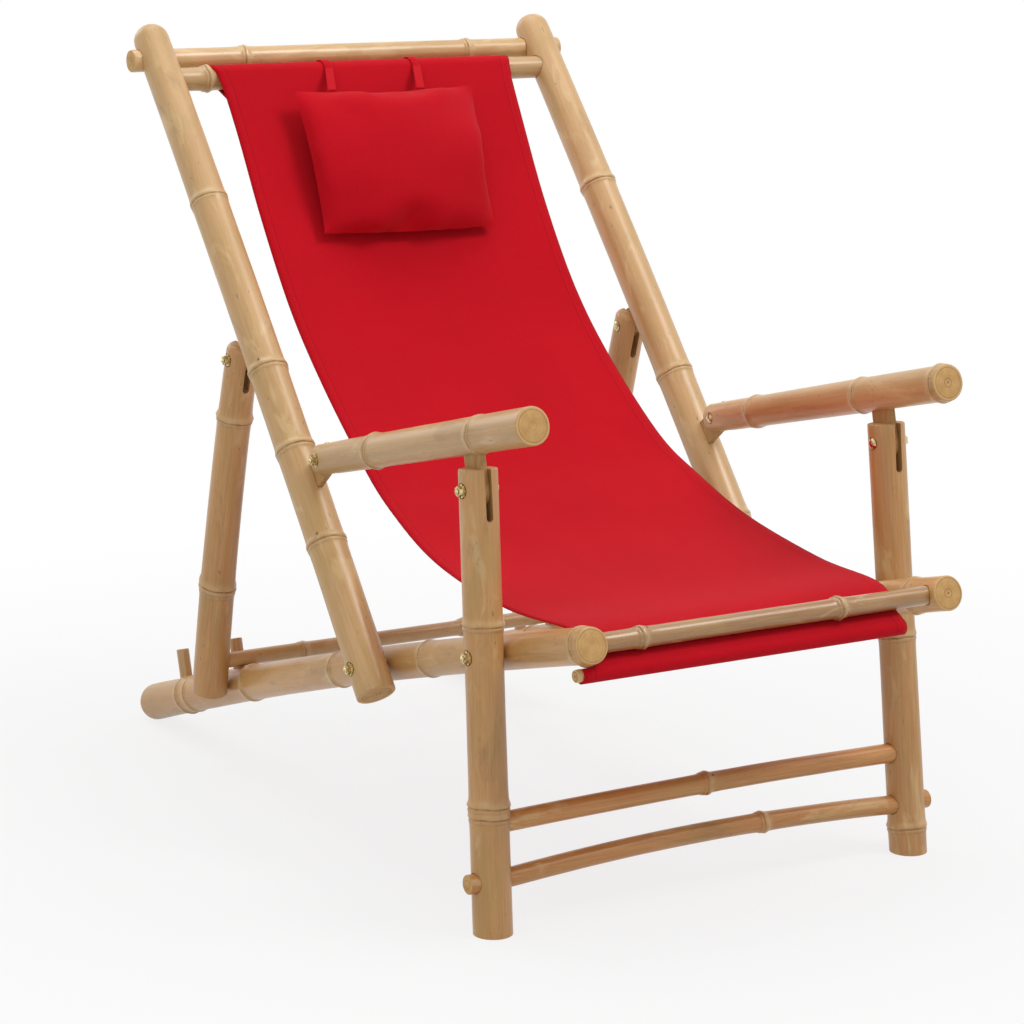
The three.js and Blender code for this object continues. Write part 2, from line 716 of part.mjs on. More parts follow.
for (const { hand, sign } of sides) {
  const prop = canePiece(propFrame, `prop_${hand}`, { ...propShape, nodes: propNodeShares[hand] });
  prop.position.set(sign * poleHalf, propOffset, -propReach - propTail);
  carve(prop, [
    forkCutter(propFrame, sign * poleHalf, propSlotBelow, 0),
    boltBore(propFrame, sign, 0, 0, poleHalf),
    facing(propFrame, sign, washerRadius, poleHalf + propRadii[2] - seatDepth, 0, 0, 1),
    facing(propFrame, sign, boltHeadRadius, poleHalf - propRadii[2] + seatDepth, 0, 0, -1),
    boreAcross(propFrame, boreRadius(propBarRadius), 0, sign * (propBarInner + fit), 0, -propReach),
  ]);
  boltJoint(propFrame, 'prop', { hand, sign }, poleHalf - propRadii[2] + seatDepth,
    poleHalf + propRadii[2] - seatDepth, 0, 0);
}

crossPiece(propFrame, 'prop_crossbar', propBarInner, 0, -propReach, {
  radii: [propBarRadius, propBarRadius, propBarRadius], nodes: [0.221, 0.66],
});

// Canvas: a strip of even thickness along a route seen from the side, between
// two edges that follow the route. It sags along its normals between them.
function stripGeometry(route, edgesAt, sagAt, thickness, across) {
  const count = route.length;
  const normals = route.map((point, at) => {
    const before = route[Math.max(at - 1, 0)];
    const after = route[Math.min(at + 1, count - 1)];
    const along = new THREE.Vector2().subVectors(after, before).normalize();
    return new THREE.Vector2(-along.y, along.x);
  });
  const positions = [];
  for (const face of [1, -1]) {
    route.forEach((point, at) => {
      const [from, to] = edgesAt(at);
      for (let step = 0; step <= across; step++) {
        const v = 2 * step / across - 1;
        const lift = face * thickness / 2 + sagAt(at) * (1 - v * v);
        positions.push(
          THREE.MathUtils.lerp(from, to, step / across),
          point.x + normals[at].x * lift,
          point.y + normals[at].y * lift);
      }
    });
  }
  const row = across + 1;
  const under = count * row;
  const index = [];
  const quad = (a, b, c, d) => index.push(a, b, c, a, c, d);
  for (let at = 0; at < count - 1; at++) {
    for (let step = 0; step < across; step++) {
      const a = at * row + step;
      quad(a, a + 1, a + 1 + row, a + row);
      quad(under + a, under + a + row, under + a + 1 + row, under + a + 1);
    }
    const left = at * row;
    const right = at * row + across;
    quad(left, left + row, under + left + row, under + left);
    quad(right, under + right, under + right + row, right + row);
  }
  for (let step = 0; step < across; step++) {
    const last = (count - 1) * row + step;
    quad(step, under + step, under + step + 1, step + 1);
    quad(last, last + 1, under + last + 1, under + last);
  }
  const geometry = new THREE.BufferGeometry();
  geometry.setAttribute('position', new THREE.Float32BufferAttribute(positions, 3));
  geometry.setIndex(index);
  geometry.computeVertexNormals();
  return geometry;
}

// Points on a circle seen from the side, from one angle to another
function arcRoute([y, z], radius, from, to, steps) {
  return Array.from({ length: steps + 1 }, (_, step) => {
    const angle = THREE.MathUtils.lerp(from, to, step / steps);
    return new THREE.Vector2(y + radius * Math.cos(angle), z + radius * Math.sin(angle));
  });
}

function cloth(name, geometry) {
  const piece = new THREE.Mesh(geometry, canvas());
  piece.name = name;
  recliner.add(piece);
  return piece;
}

// The sling's route: its sleeve round the sling rod, from the seam in front of
// which it starts, the hollow of the seat, the turn under the front crossbar
// and the hem's sleeve round the hem rod
const slingRod = sidePoint(backFrame, slingRodY, slingRodAt);
const frontBar = sidePoint(seatFrame, frontBarAt, frontBarZ);
const hemRod = sidePoint(seatFrame, frontBarAt, hemRodZ);
const wrap = 2 * fit + slingThickness / 2;
const sleeveRadius = slingRodRadius + wrap;
const downSling = new THREE.Vector2(-Math.cos(backSlope), -Math.sin(backSlope));
const behindSling = new THREE.Vector2(-downSling.y, downSling.x);
const seam = new THREE.Vector2()
  .addScaledVector(downSling, sleeveLength)
  .addScaledVector(behindSling, seamGap - sleeveRadius);
const sleeveFoot = new THREE.Vector2(slingRod[0] + seam.x, slingRod[1] + seam.y);
const sleeveTurn = arcRoute(slingRod, sleeveRadius,
  Math.atan2(seam.y, seam.x) + Math.acos(sleeveRadius / seam.length()), degrees(90) + backSlope, 10);
const frontTurn = arcRoute(frontBar, frontBarRadius + wrap + nodeRise, degrees(-25), degrees(-61), 3);
const hemTurn = arcRoute(hemRod, hemRodRadius + wrap, degrees(119), degrees(395), 10);
const chordStart = sleeveTurn[sleeveTurn.length - 1];
const chordEnd = frontTurn[0];
const chord = new THREE.Vector2().subVectors(chordEnd, chordStart);
const mainCurve = new THREE.SplineCurve([
  chordStart,
  ...slingShares.map(([along, drop]) => new THREE.Vector2(
    chordStart.x + chord.x * along - chord.y * drop, chordStart.y + chord.y * along + chord.x * drop)),
  chordEnd,
]);
const hollow = mainCurve.getPoints(hollowSteps).slice(1);
const slingRoute = [sleeveFoot, ...sleeveTurn, ...hollow, ...frontTurn.slice(1), ...hemTurn];

// Its edges: a little in and out of line down the hollow, inside the rails at
// the turn, and slipped along the hem rod
const slingHalf = railHalf - railRadii[1] - slingSideGap;
function widthCurve(shares) {
  return new THREE.SplineCurve(shares.map((share, at) => new THREE.Vector2(at / (shares.length - 1), share)));
}
const rightCurve = widthCurve(slingWidthShares.right);
const leftCurve = widthCurve(slingWidthShares.left);
const hollowFrom = 1 + sleeveTurn.length;
const turnFrom = hollowFrom + hollow.length;
const hemFrom = slingRoute.length - hemTurn.length;
function slingEdges(at) {
  if (at > hemFrom) return [-hemShares.right * hemRodHalf, hemShares.left * hemRodHalf];
  if (at > turnFrom) return [-slingHalf, hemShares.left * hemRodHalf];
  const along = Math.min(at / turnFrom, 1);
  return [-slingHalf * rightCurve.getPoint(along).y, slingHalf * leftCurve.getPoint(along).y];
}
function slingSagAt(at) {
  const within = THREE.MathUtils.clamp((at - hollowFrom) / (turnFrom - hollowFrom), 0, 1);
  return slingSag * Math.sin(Math.PI * within) ** 2;
}
cloth('sling', stripGeometry(slingRoute, slingEdges, slingSagAt, slingThickness, 6));

// Pillow: two crowned faces that meet at a seam with pulled-out corners
function pillowGeometry(columns, rows) {
  const positions = [];
  const index = [];
  const place = new Map();
  const vertex = (column, line, face) => {
    const onSeam = column === 0 || column === columns || line === 0 || line === rows;
    const key = `${column},${line},${onSeam ? 0 : face}`;
    if (!place.has(key)) {
      const u = -Math.cos(Math.PI * column / columns);
      const v = -Math.cos(Math.PI * line / rows);
      const crown = Math.sqrt(Math.sqrt((1 - u * u) * (1 - v * v))) ** 1.4;
      const depth = onSeam ? 0 : face * crown * (face > 0 ? pillowFrontCrown : pillowBackCrown);
      place.set(key, positions.length / 3);
      positions.push(
        u * pillowWidth / 2 * (1 - pillowPinchShare * (1 - v * v)),
        -depth,
        v * pillowHeight / 2 * (1 - pillowPinchShare * (1 - u * u)));
    }
    return place.get(key);
  };
  for (const face of [1, -1]) {
    for (let column = 0; column < columns; column++) {
      for (let line = 0; line < rows; line++) {
        const a = vertex(column, line, face);
        const b = vertex(column + 1, line, face);
        const c = vertex(column + 1, line + 1, face);
        const d = vertex(column, line + 1, face);
        if (face > 0) index.push(a, b, c, a, c, d);
        else index.push(a, c, b, a, d, c);
      }
    }
  }
  const geometry = new THREE.BufferGeometry();
  geometry.setAttribute('position', new THREE.Float32BufferAttribute(positions, 3));
  geometry.setIndex(index);
  geometry.computeVertexNormals();
  return geometry;
}

const pillowTop = new THREE.Vector2(slingRod[0] - pillowTopForward, slingRod[1] - pillowTopDrop);
const pillowMiddle = new THREE.Vector2(
  pillowTop.x - pillowHeight / 2 * Math.sin(pillowLean), pillowTop.y - pillowHeight / 2 * Math.cos(pillowLean));
const pillow = cloth('head_pillow', pillowGeometry(12, 10));
pillow.position.set(0, pillowMiddle.x, pillowMiddle.y);
pillow.rotation.x = -pillowLean;

// Straps: from the pillow's top seam over the sleeve and down behind it
const strapWrap = sleeveRadius + slingThickness / 2 + 2 * fit + strapThickness / 2;
function strapRoute(x) {
  const u = x / (pillowWidth / 2);
  const seam = pillowHeight / 2 * (1 - pillowPinchShare * (1 - u * u)) + 2 * fit;
  const over = arcRoute(slingRod, strapWrap, degrees(150), backSlope - degrees(90), 9);
  const last = over[over.length - 1];
  return [
    new THREE.Vector2(pillowMiddle.x + seam * Math.sin(pillowLean), pillowMiddle.y + seam * Math.cos(pillowLean)),
    ...over,
    last.clone().addScaledVector(downSling, strapTail),
  ];
}
strapPlaces.forEach((x, at) => {
  const strap = cloth(`pillow_strap_${sides[at].hand}`,
    stripGeometry(strapRoute(x), () => [-strapWidth / 2, strapWidth / 2], () => 0, strapThickness, 1));
  strap.position.x = x;
});

// The origin is on the floor, in the middle of the overall box
const box = new THREE.Box3().setFromObject(recliner, true);
recliner.position.y = -(box.min.y + box.max.y) / 2;

export default recliner;
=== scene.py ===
"""The bamboo folding recliner in its studio. The pieces are sized in millimetres and made in metres."""
import json
from math import acos, asin, atan2, cos, exp, hypot, pi, radians as deg, sin, sqrt, tan

import bmesh
import bpy
from mathutils import Matrix, Vector, noise


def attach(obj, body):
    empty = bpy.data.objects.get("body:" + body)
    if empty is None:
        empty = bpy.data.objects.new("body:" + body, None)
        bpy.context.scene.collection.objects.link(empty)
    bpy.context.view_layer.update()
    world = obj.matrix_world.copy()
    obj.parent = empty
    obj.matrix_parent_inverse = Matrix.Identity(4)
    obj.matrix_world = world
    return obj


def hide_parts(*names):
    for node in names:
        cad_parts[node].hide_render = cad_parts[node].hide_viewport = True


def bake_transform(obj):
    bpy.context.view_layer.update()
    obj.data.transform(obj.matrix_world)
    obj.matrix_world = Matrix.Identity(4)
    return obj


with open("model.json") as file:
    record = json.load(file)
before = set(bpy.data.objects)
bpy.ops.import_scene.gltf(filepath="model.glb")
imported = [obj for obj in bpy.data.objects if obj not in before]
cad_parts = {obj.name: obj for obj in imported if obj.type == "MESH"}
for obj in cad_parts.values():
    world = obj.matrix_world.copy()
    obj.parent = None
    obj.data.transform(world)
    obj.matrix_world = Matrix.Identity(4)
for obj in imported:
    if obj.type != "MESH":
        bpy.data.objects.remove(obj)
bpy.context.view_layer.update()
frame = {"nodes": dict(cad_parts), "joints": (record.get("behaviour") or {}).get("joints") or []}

MM = 0.001
scene = bpy.context.scene


def add(name, data):
    made = bpy.data.objects.new(name, data)
    scene.collection.objects.link(made)
    return made


# Camera and light, fitted to the photo

def camera():
    data = bpy.data.cameras.new("camera")
    data.sensor_width = 36
    data.lens = 106.95
    data.shift_x = 0.0704
    data.shift_y = -0.0116
    data.clip_end = 60
    shot = add("camera", data)
    shot.location = (-1.8211, -2.9804, 1.0753)
    shot.rotation_euler = (deg(90 - 11.628), 0, deg(-30.042))
    scene.camera = shot


def lamp(name, place, aim, size, watts):
    data = bpy.data.lights.new(name, "AREA")
    data.shape = "RECTANGLE"
    data.size, data.size_y = size
    data.energy = watts
    lit = add(name, data)
    lit.location = place
    lit.rotation_mode = "QUATERNION"
    lit.rotation_quaternion = (Vector(aim) - Vector(place)).to_track_quat("-Z", "Y")


def studio():
    lamp("key", (1.7, -1.8, 3.7), (0, 0, 0.4), (1.5, 1.5), 64)
    lamp("fill", (-3.0, -1.8, 1.7), (0, 0, 0.4), (2.6, 2.2), 15)
    lamp("top", (-0.2, 0.6, 3.4), (0, 0, 0.4), (2.2, 2.2), 30)
    lamp("back", (-1.2, 3.2, 2.2), (0, 0, 0.5), (2.2, 1.6), 18)
    world = bpy.data.worlds.new("studio")
    scene.world = world
    world.use_nodes = True
    w = Tree(world.node_tree)
    background = w.tree.nodes["Background"].inputs
    w.put((1, 1, 1, 1), background["Color"])
    w.put(w.range(w.seen(), 0, 1, 0.45, 1.0), background["Strength"])


# Materials

def linear(hexcode):
    values = [int(hexcode[i:i + 2], 16) / 255 for i in (0, 2, 4)]
    return tuple(v / 12.92 if v <= 0.04045 else ((v + 0.055) / 1.055) ** 2.4 for v in values) + (1,)


class Tree:
    """A node tree, with short calls for the nodes used here. A colour may be given by its hex code."""

    def __init__(self, tree):
        self.tree = tree

    def put(self, value, socket):
        if isinstance(value, str):
            value = linear(value)
        if isinstance(value, bpy.types.NodeSocket):
            self.tree.links.new(value, socket)
        elif value is not None:
            socket.default_value = value

    def node(self, kind, settings=(), **inputs):
        made = self.tree.nodes.new("ShaderNode" + kind)
        for name, value in dict(settings).items():
            setattr(made, name, value)
        for name, value in inputs.items():
            self.put(value, made.inputs[name.replace("_", " ")])
        return made

    def coords(self, scale=(1, 1, 1), offset=None, source="Object"):
        place = self.node("TexCoord").outputs[source]
        made = self.node("Mapping", Vector=place, Scale=scale)
        if offset is not None:
            self.put(offset, made.inputs["Location"])
        return made.outputs[0]

    def noise(self, vector, scale, detail=3.0, roughness=0.5, distortion=0.0):
        return self.node("TexNoise", Vector=vector, Scale=scale, Detail=detail, Roughness=roughness,
                         Distortion=distortion).outputs["Fac"]

    def range(self, value, low, high, to_low=0.0, to_high=1.0):
        made = self.node("MapRange", Value=value)
        for name, number in (("From Min", low), ("From Max", high), ("To Min", to_low), ("To Max", to_high)):
            self.put(number, made.inputs[name])
        return made.outputs[0]

    def math(self, operation, a, b=None):
        made = self.node("Math", {"operation": operation})
        self.put(a, made.inputs[0])
        self.put(b, made.inputs[1])
        return made.outputs[0]

    def times(self, a, b):
        return self.math("MULTIPLY", a, b)

    def mix(self, share, a, b, blend="MIX"):
        made = self.node("Mix", {"data_type": "RGBA", "blend_type": blend})
        self.put(share, made.inputs[0])
        self.put(a, made.inputs[6])
        self.put(b, made.inputs[7])
        return made.outputs[2]

    def from_axis(self, apart):
        """How far a place, taken apart into x, y and z, lies from the z axis."""
        x, y = (self.math("POWER", apart.outputs[i], 2.0) for i in (0, 1))
        return self.math("SQRT", self.math("ADD", x, y))

    def line(self, value, at, inner, outer, strength):
        """A line where a value is near a number, in full up to inner and gone at outer."""
        return self.range(self.math("ABSOLUTE", self.math("SUBTRACT", value, at)), inner, outer, strength, 0)

    def attribute(self, name):
        return self.node("Attribute", {"attribute_name": name}).outputs["Fac"]

    def seen(self):
        """One for rays from the camera or a reflection, nought for light."""
        path = self.node("LightPath")
        return self.math("MAXIMUM", path.outputs["Is Camera Ray"], path.outputs["Is Glossy Ray"])

    def bump(self, height, distance, strength=1.0, normal=None):
        made = self.node("Bump", Height=height, Distance=distance, Strength=strength)
        if normal is not None:
            self.put(normal, made.inputs["Normal"])
        return made.outputs[0]


class Nodes(Tree):
    """A material, with what its shader is given."""

    def __init__(self, name, **inputs):
        self.material = bpy.data.materials.new(name)
        self.material.use_nodes = True
        Tree.__init__(self, self.material.node_tree)
        self.shader = self.tree.nodes["Principled BSDF"]
        self.set(**inputs)

    def set(self, **inputs):
        for name, value in inputs.items():
            self.put(value, self.shader.inputs[name.replace("_", " ")])

    def surface(self, colour, roughness, normal):
        self.set(Base_Color=colour, Roughness=roughness, Normal=normal)
        return self.material


def seeded(m):
    """An offset of the texture and a number, random for each cane."""
    seed = m.node("ObjectInfo").outputs["Random"]
    return m.node("CombineXYZ", X=m.times(seed, 7.3), Y=m.times(seed, 3.1),
                  Z=m.times(seed, 11.7)).outputs[0], seed


def bamboo_skin(name, light, deep, coat, gloss=0.36):
    """The outer skin of a cane: long fibres, stains, a dark scar and a pale band at each node."""
    m = Nodes(name, Coat_Weight=coat, Coat_Roughness=0.28)
    offset, seed = seeded(m)
    along = m.coords((1, 1, 0.035), offset)
    free = m.coords((1, 1, 0.35), offset)
    fibre = m.noise(along, 420, 4, 0.65)
    streak = m.noise(along, 70, 3, 0.6)
    blotch = m.noise(free, 9, 4, 0.6, 0.4)
    speck = m.noise(m.coords((1, 1, 0.3), offset), 260, 2, 0.5)
    ground = m.mix(m.range(blotch, 0.32, 0.7), light, deep)
    ground = m.mix(m.range(streak, 0.42, 0.72, 0, 0.3), ground, "a47b42")
    ground = m.mix(m.range(fibre, 0.35, 0.75, 0, 0.34), ground, "e3c088")
    ground = m.mix(m.range(m.noise(free, 24, 4, 0.62, 0.6), 0.5, 0.66, 0, 0.4), ground, "b3924f")
    ground = m.mix(m.range(m.noise(free, 38, 3, 0.55, 0.8), 0.58, 0.66, 0, 0.32), ground, "e6cb97")
    ground = m.mix(m.range(speck, 0.7, 0.78, 0, 0.6), ground, "6e4a28")
    stain = m.noise(m.coords((1, 1, 0.22), offset), 26, 5, 0.7, 1.2)
    ground = m.mix(m.range(stain, 0.56, 0.76, 0, 0.55), ground, "84603a")
    tone = m.range(seed, 0, 1, 0.93, 1.06)
    grey = m.node("CombineColor", Red=tone, Green=tone, Blue=tone).outputs[0]
    ground = m.mix(1.0, ground, grey, "MULTIPLY")
    ring = m.attribute("ring")
    band = m.attribute("band")
    scar = m.attribute("scar")
    pale = m.times(m.range(m.noise(free, 60, 3), 0.25, 0.6), m.times(band, 0.55))
    ground = m.mix(pale, ground, "d9b985")
    broken = m.range(m.noise(m.coords((1, 1, 1), offset), 95, 3, 0.6), 0.36, 0.58, 0.1, 0.7)
    ground = m.mix(m.times(ring, broken), ground, "75501f")
    ground = m.mix(m.range(scar, 0.3, 0.6, 0, 0.55), ground, "b3874f")
    ground = m.mix(m.range(scar, 0.72, 0.86, 0, 0.95), ground, "41270f")
    rough = m.math("ADD", m.range(blotch, 0.3, 0.7, gloss - 0.05, gloss + 0.08),
                   m.times(m.range(fibre, 0.4, 0.7), 0.06))
    grain = m.bump(fibre, 0.00022, 0.5)
    grain = m.bump(streak, 0.0006, 0.35, grain)
    return m.surface(ground, rough, grain)


def bamboo_end(name):
    """A sawn end: a pale disc of fibre dots with a brown rim and a little pith in the middle."""
    m = Nodes(name)
    place = m.coords()
    apart = m.node("SeparateXYZ", Vector=place)
    across = m.from_axis(apart)
    dots = m.node("TexVoronoi", {"feature": "F1"}, Vector=place, Scale=900.0).outputs["Distance"]
    cloud = m.noise(place, 90, 3)
    seed = m.node("ObjectInfo").outputs["Random"]
    ground = m.mix(m.range(cloud, 0.35, 0.7), "d6a96b", "c39556")
    ground = m.mix(m.range(dots, 0.1, 0.32, 0.4, 0), ground, "966c38")
    wavy = m.math("ADD", across, m.times(cloud, 0.002))
    rings = m.math("SINE", m.times(wavy, 1500.0))
    ground = m.mix(m.range(rings, 0.3, 1, 0, 0.08), ground, "8f6733")
    ground = m.mix(m.line(across, 0.0166, 0.0003, 0.0011, 0.35), ground, "7a5528")
    ground = m.mix(m.range(across, 0.0168, 0.018, 0, 0.6), ground, "e0b57a")
    core = m.line(across, 0.0048, 0.0003, 0.0012, 0.45)
    ground = m.mix(m.times(core, m.range(seed, 0.3, 0.5)), ground, "8a6230")
    pith = m.times(m.range(across, 0.0013, 0.0008, 0, 0.8), m.range(seed, 0.55, 0.6))
    ground = m.mix(pith, ground, "3c2814")
    lines = m.bump(m.noise(m.coords((0.15, 1, 1)), 500, 2), 0.0002, 0.5)
    return m.surface(ground, m.range(cloud, 0.3, 0.7, 0.5, 0.68), m.bump(dots, 0.0002, 0.4, lines))


def bamboo_raw(name, light="c39a60", deep="976c39"):
    """Split or routed bamboo: straight fibres laid bare, with scorched saw lines."""
    m = Nodes(name)
    offset = seeded(m)[0]
    along = m.coords((1, 1, 0.05), offset)
    fibre = m.noise(along, 700, 3, 0.6)
    broad = m.noise(along, 120, 3, 0.6)
    ground = m.mix(m.range(broad, 0.35, 0.68), light, deep)
    ground = m.mix(m.range(fibre, 0.45, 0.72, 0, 0.5), ground, "86602f")
    burn = m.noise(m.coords(offset=offset), 55, 3)
    ground = m.mix(m.range(burn, 0.55, 0.75, 0, 0.4), ground, "6e4a26")
    return m.surface(ground, m.range(fibre, 0.3, 0.7, 0.5, 0.7), m.bump(fibre, 0.0003, 0.6))


def zinc(name):
    """Yellow-passivated zinc: brushed, a little uneven, with fine dark specks."""
    m = Nodes(name, Metallic=1.0)
    place = m.coords()
    cloud = m.noise(place, 380, 4, 0.6)
    fine = m.noise(place, 2600, 2)
    ground = m.mix(m.range(cloud, 0.35, 0.7), "e3d2a0", "9a8355")
    ground = m.mix(m.range(fine, 0.6, 0.8, 0, 0.4), ground, "4e4029")
    return m.surface(ground, m.range(cloud, 0.3, 0.7, 0.16, 0.34), m.bump(fine, 0.00006, 0.5))


def weave(m, u, v, pitch):
    """Height of a plain weave whose threads run along u and v, in metres."""
    turn = pi / pitch
    across = m.math("SINE", m.times(u, turn))
    down = m.math("SINE", m.times(v, turn))
    over = m.times(m.math("SIGN", across), m.math("SIGN", down))
    face = m.times(m.math("ADD", over, 1.0), 0.5)
    back = m.math("SUBTRACT", 1.0, face)
    return m.math("ADD", m.times(face, m.math("ABSOLUTE", across)),
                  m.times(back, m.math("ABSOLUTE", down)))


THREAD, STITCH = 0.00078, 0.0034  # pitch of the weave and of the stitches, in metres
STITCH_FROM_EDGE, FOLD_FROM_EDGE = 0.0102, 0.0125


def canvas(name, flat, hemmed=False):
    """Red canvas: a plain weave with slubs, softly faded. A hemmed sheet has stitches beside its edges."""
    m = Nodes(name, Specular_IOR_Level=0.12, Sheen_Weight=0.06, Sheen_Roughness=0.4)
    place = m.coords(source="UV") if flat else m.coords()
    apart = m.node("SeparateXYZ", Vector=place)
    u = apart.outputs[0]
    v = apart.outputs[1] if flat else apart.outputs[2]
    threads = weave(m, u, v, THREAD)
    down = (1, 0.06, 1) if flat else (1, 1, 0.06)
    slub, slub_across = (m.noise(m.node("Mapping", Vector=place, Scale=scale).outputs[0], 900, 2)
                         for scale in (down, (0.06, 1, 1)))
    cloud = m.noise(place, 5, 3, 0.5)
    ground = m.mix(m.range(cloud, 0.3, 0.7), "d00b1f", "c6081b")
    # Painted shade: the canvas is darkened in the low places of the weave, between the threads.
    ground = m.mix(m.range(threads, 0.0, 0.9, 0.36, 0.0), ground, "8a0410")
    ground = m.mix(m.range(slub, 0.55, 0.75, 0, 0.22), ground, "dc2536")
    ground = m.mix(m.range(slub_across, 0.55, 0.75, 0, 0.18), ground, "9a0c18")
    height = m.math("ADD", m.times(threads, 0.6), m.times(slub, 0.5))
    normal = m.bump(height, 0.00022, 0.55)
    if hemmed:
        rim = m.attribute("rim")
        seam = m.line(rim, STITCH_FROM_EDGE, 0.0003, 0.0009, 1)
        dash = m.range(m.math("SINE", m.times(m.attribute("run"), 2 * pi / STITCH)), -0.35, -0.1)
        stitch = m.times(seam, dash)
        # Painted shade: a dark line along the hem's folded edge, for the small step that the flat sheet
        # doesn't have.
        ground = m.mix(m.line(rim, FOLD_FROM_EDGE, 0.0, 0.0014, 0.3), ground, "7d0410")
        ground = m.mix(m.times(stitch, 0.3), ground, "d62a3a")
        normal = m.bump(stitch, 0.0004, 0.6, normal)
    return m.surface(ground, m.range(slub, 0.3, 0.7, 0.8, 0.92), normal)


camera()
studio()

POLE = bamboo_skin("bamboo_pole", "d5aa76", "b98f5b", coat=0.26)
RAIL = bamboo_skin("bamboo_rail", "dfaa6a", "c28d52", coat=0.26)
LEG = bamboo_skin("bamboo_leg", "d29a5b", "b47f46", coat=0.2)
ROD = bamboo_skin("bamboo_rod", "dab07c", "be955f", gloss=0.3, coat=0.4)
# The front crossbar's skin is a darker copy of the bamboo: its colour is painted shade for the crossbar's
# shaded underside.
BAR_PAINTED_SHADE = bamboo_skin("bamboo_bar_painted_shade", "a9743f", "8b5c30", gloss=0.25, coat=0.55)
STRETCHER = bamboo_skin("bamboo_stretcher", "d08c45", "b1702f", gloss=0.34, coat=0.2)
END = bamboo_end("bamboo_end")
RAW = bamboo_raw("bamboo_raw")
SPLIT = bamboo_raw("bamboo_split", "c79d64", "aa7f48")
ZINC = zinc("zinc_plating")
SHEET = canvas("canvas_sling", flat=True, hemmed=True)
STUFFED = canvas("canvas_pillow", flat=False)
TAPE = canvas("canvas_strap", flat=True)


# Sizes shared with the model

FIT = 0.3  # room that two touching pieces keep
SEAT = 12  # depth that a rod's end or a tongue is let into a cane
SINK = 1.7  # depth of the flats for washers and nuts
ROOM = 0.5  # room of a rod in its socket, all round
CLOTH = 1.6
NODE_RISE = 0.8
BOLT_BORE, NUT_POCKET, HEAD_POCKET = 3.3, 7.1, 8.4
BORE_REACH, POCKET_REACH, SOCKET_REACH = 100, 20, 60
TONGUE, TONGUE_HALF = 7, 15
FORK = TONGUE + 1.0
SIDES = (("right", -1), ("left", 1))
IN_PLACE = Matrix.Identity(4)
TO_Y = Matrix.Rotation(-pi / 2, 4, "X")
TO_X = Matrix.Rotation(pi / 2, 4, "Y")
TURNED = Matrix.Rotation(pi / 2, 4, "Z")


def lean(angle, origin):
    return Matrix.Translation(Vector(origin)) @ Matrix.Rotation(angle, 4, "X")


def spot(place, x, y, z):
    return place @ Matrix.Translation((x, y, z))


def wave(*at):
    return noise.noise(Vector(at))


def hump(gap, middle, width):
    """A smooth hump, one high."""
    return exp(-((gap - middle) / width) ** 2)


# Canes

ROW_STEP = 14
NODE_REACH = 12
NODE_ROWS = (-11, -8, -6, -5, -4.2, -3.5, -2.9, -2.5, -2.2, -1.9, -1.6, -1.2, -0.6, 0, 0.8, 1.8, 3, 4.2, 5.4,
             6.6, 8, 11)
GROOVE_AT = -1.9


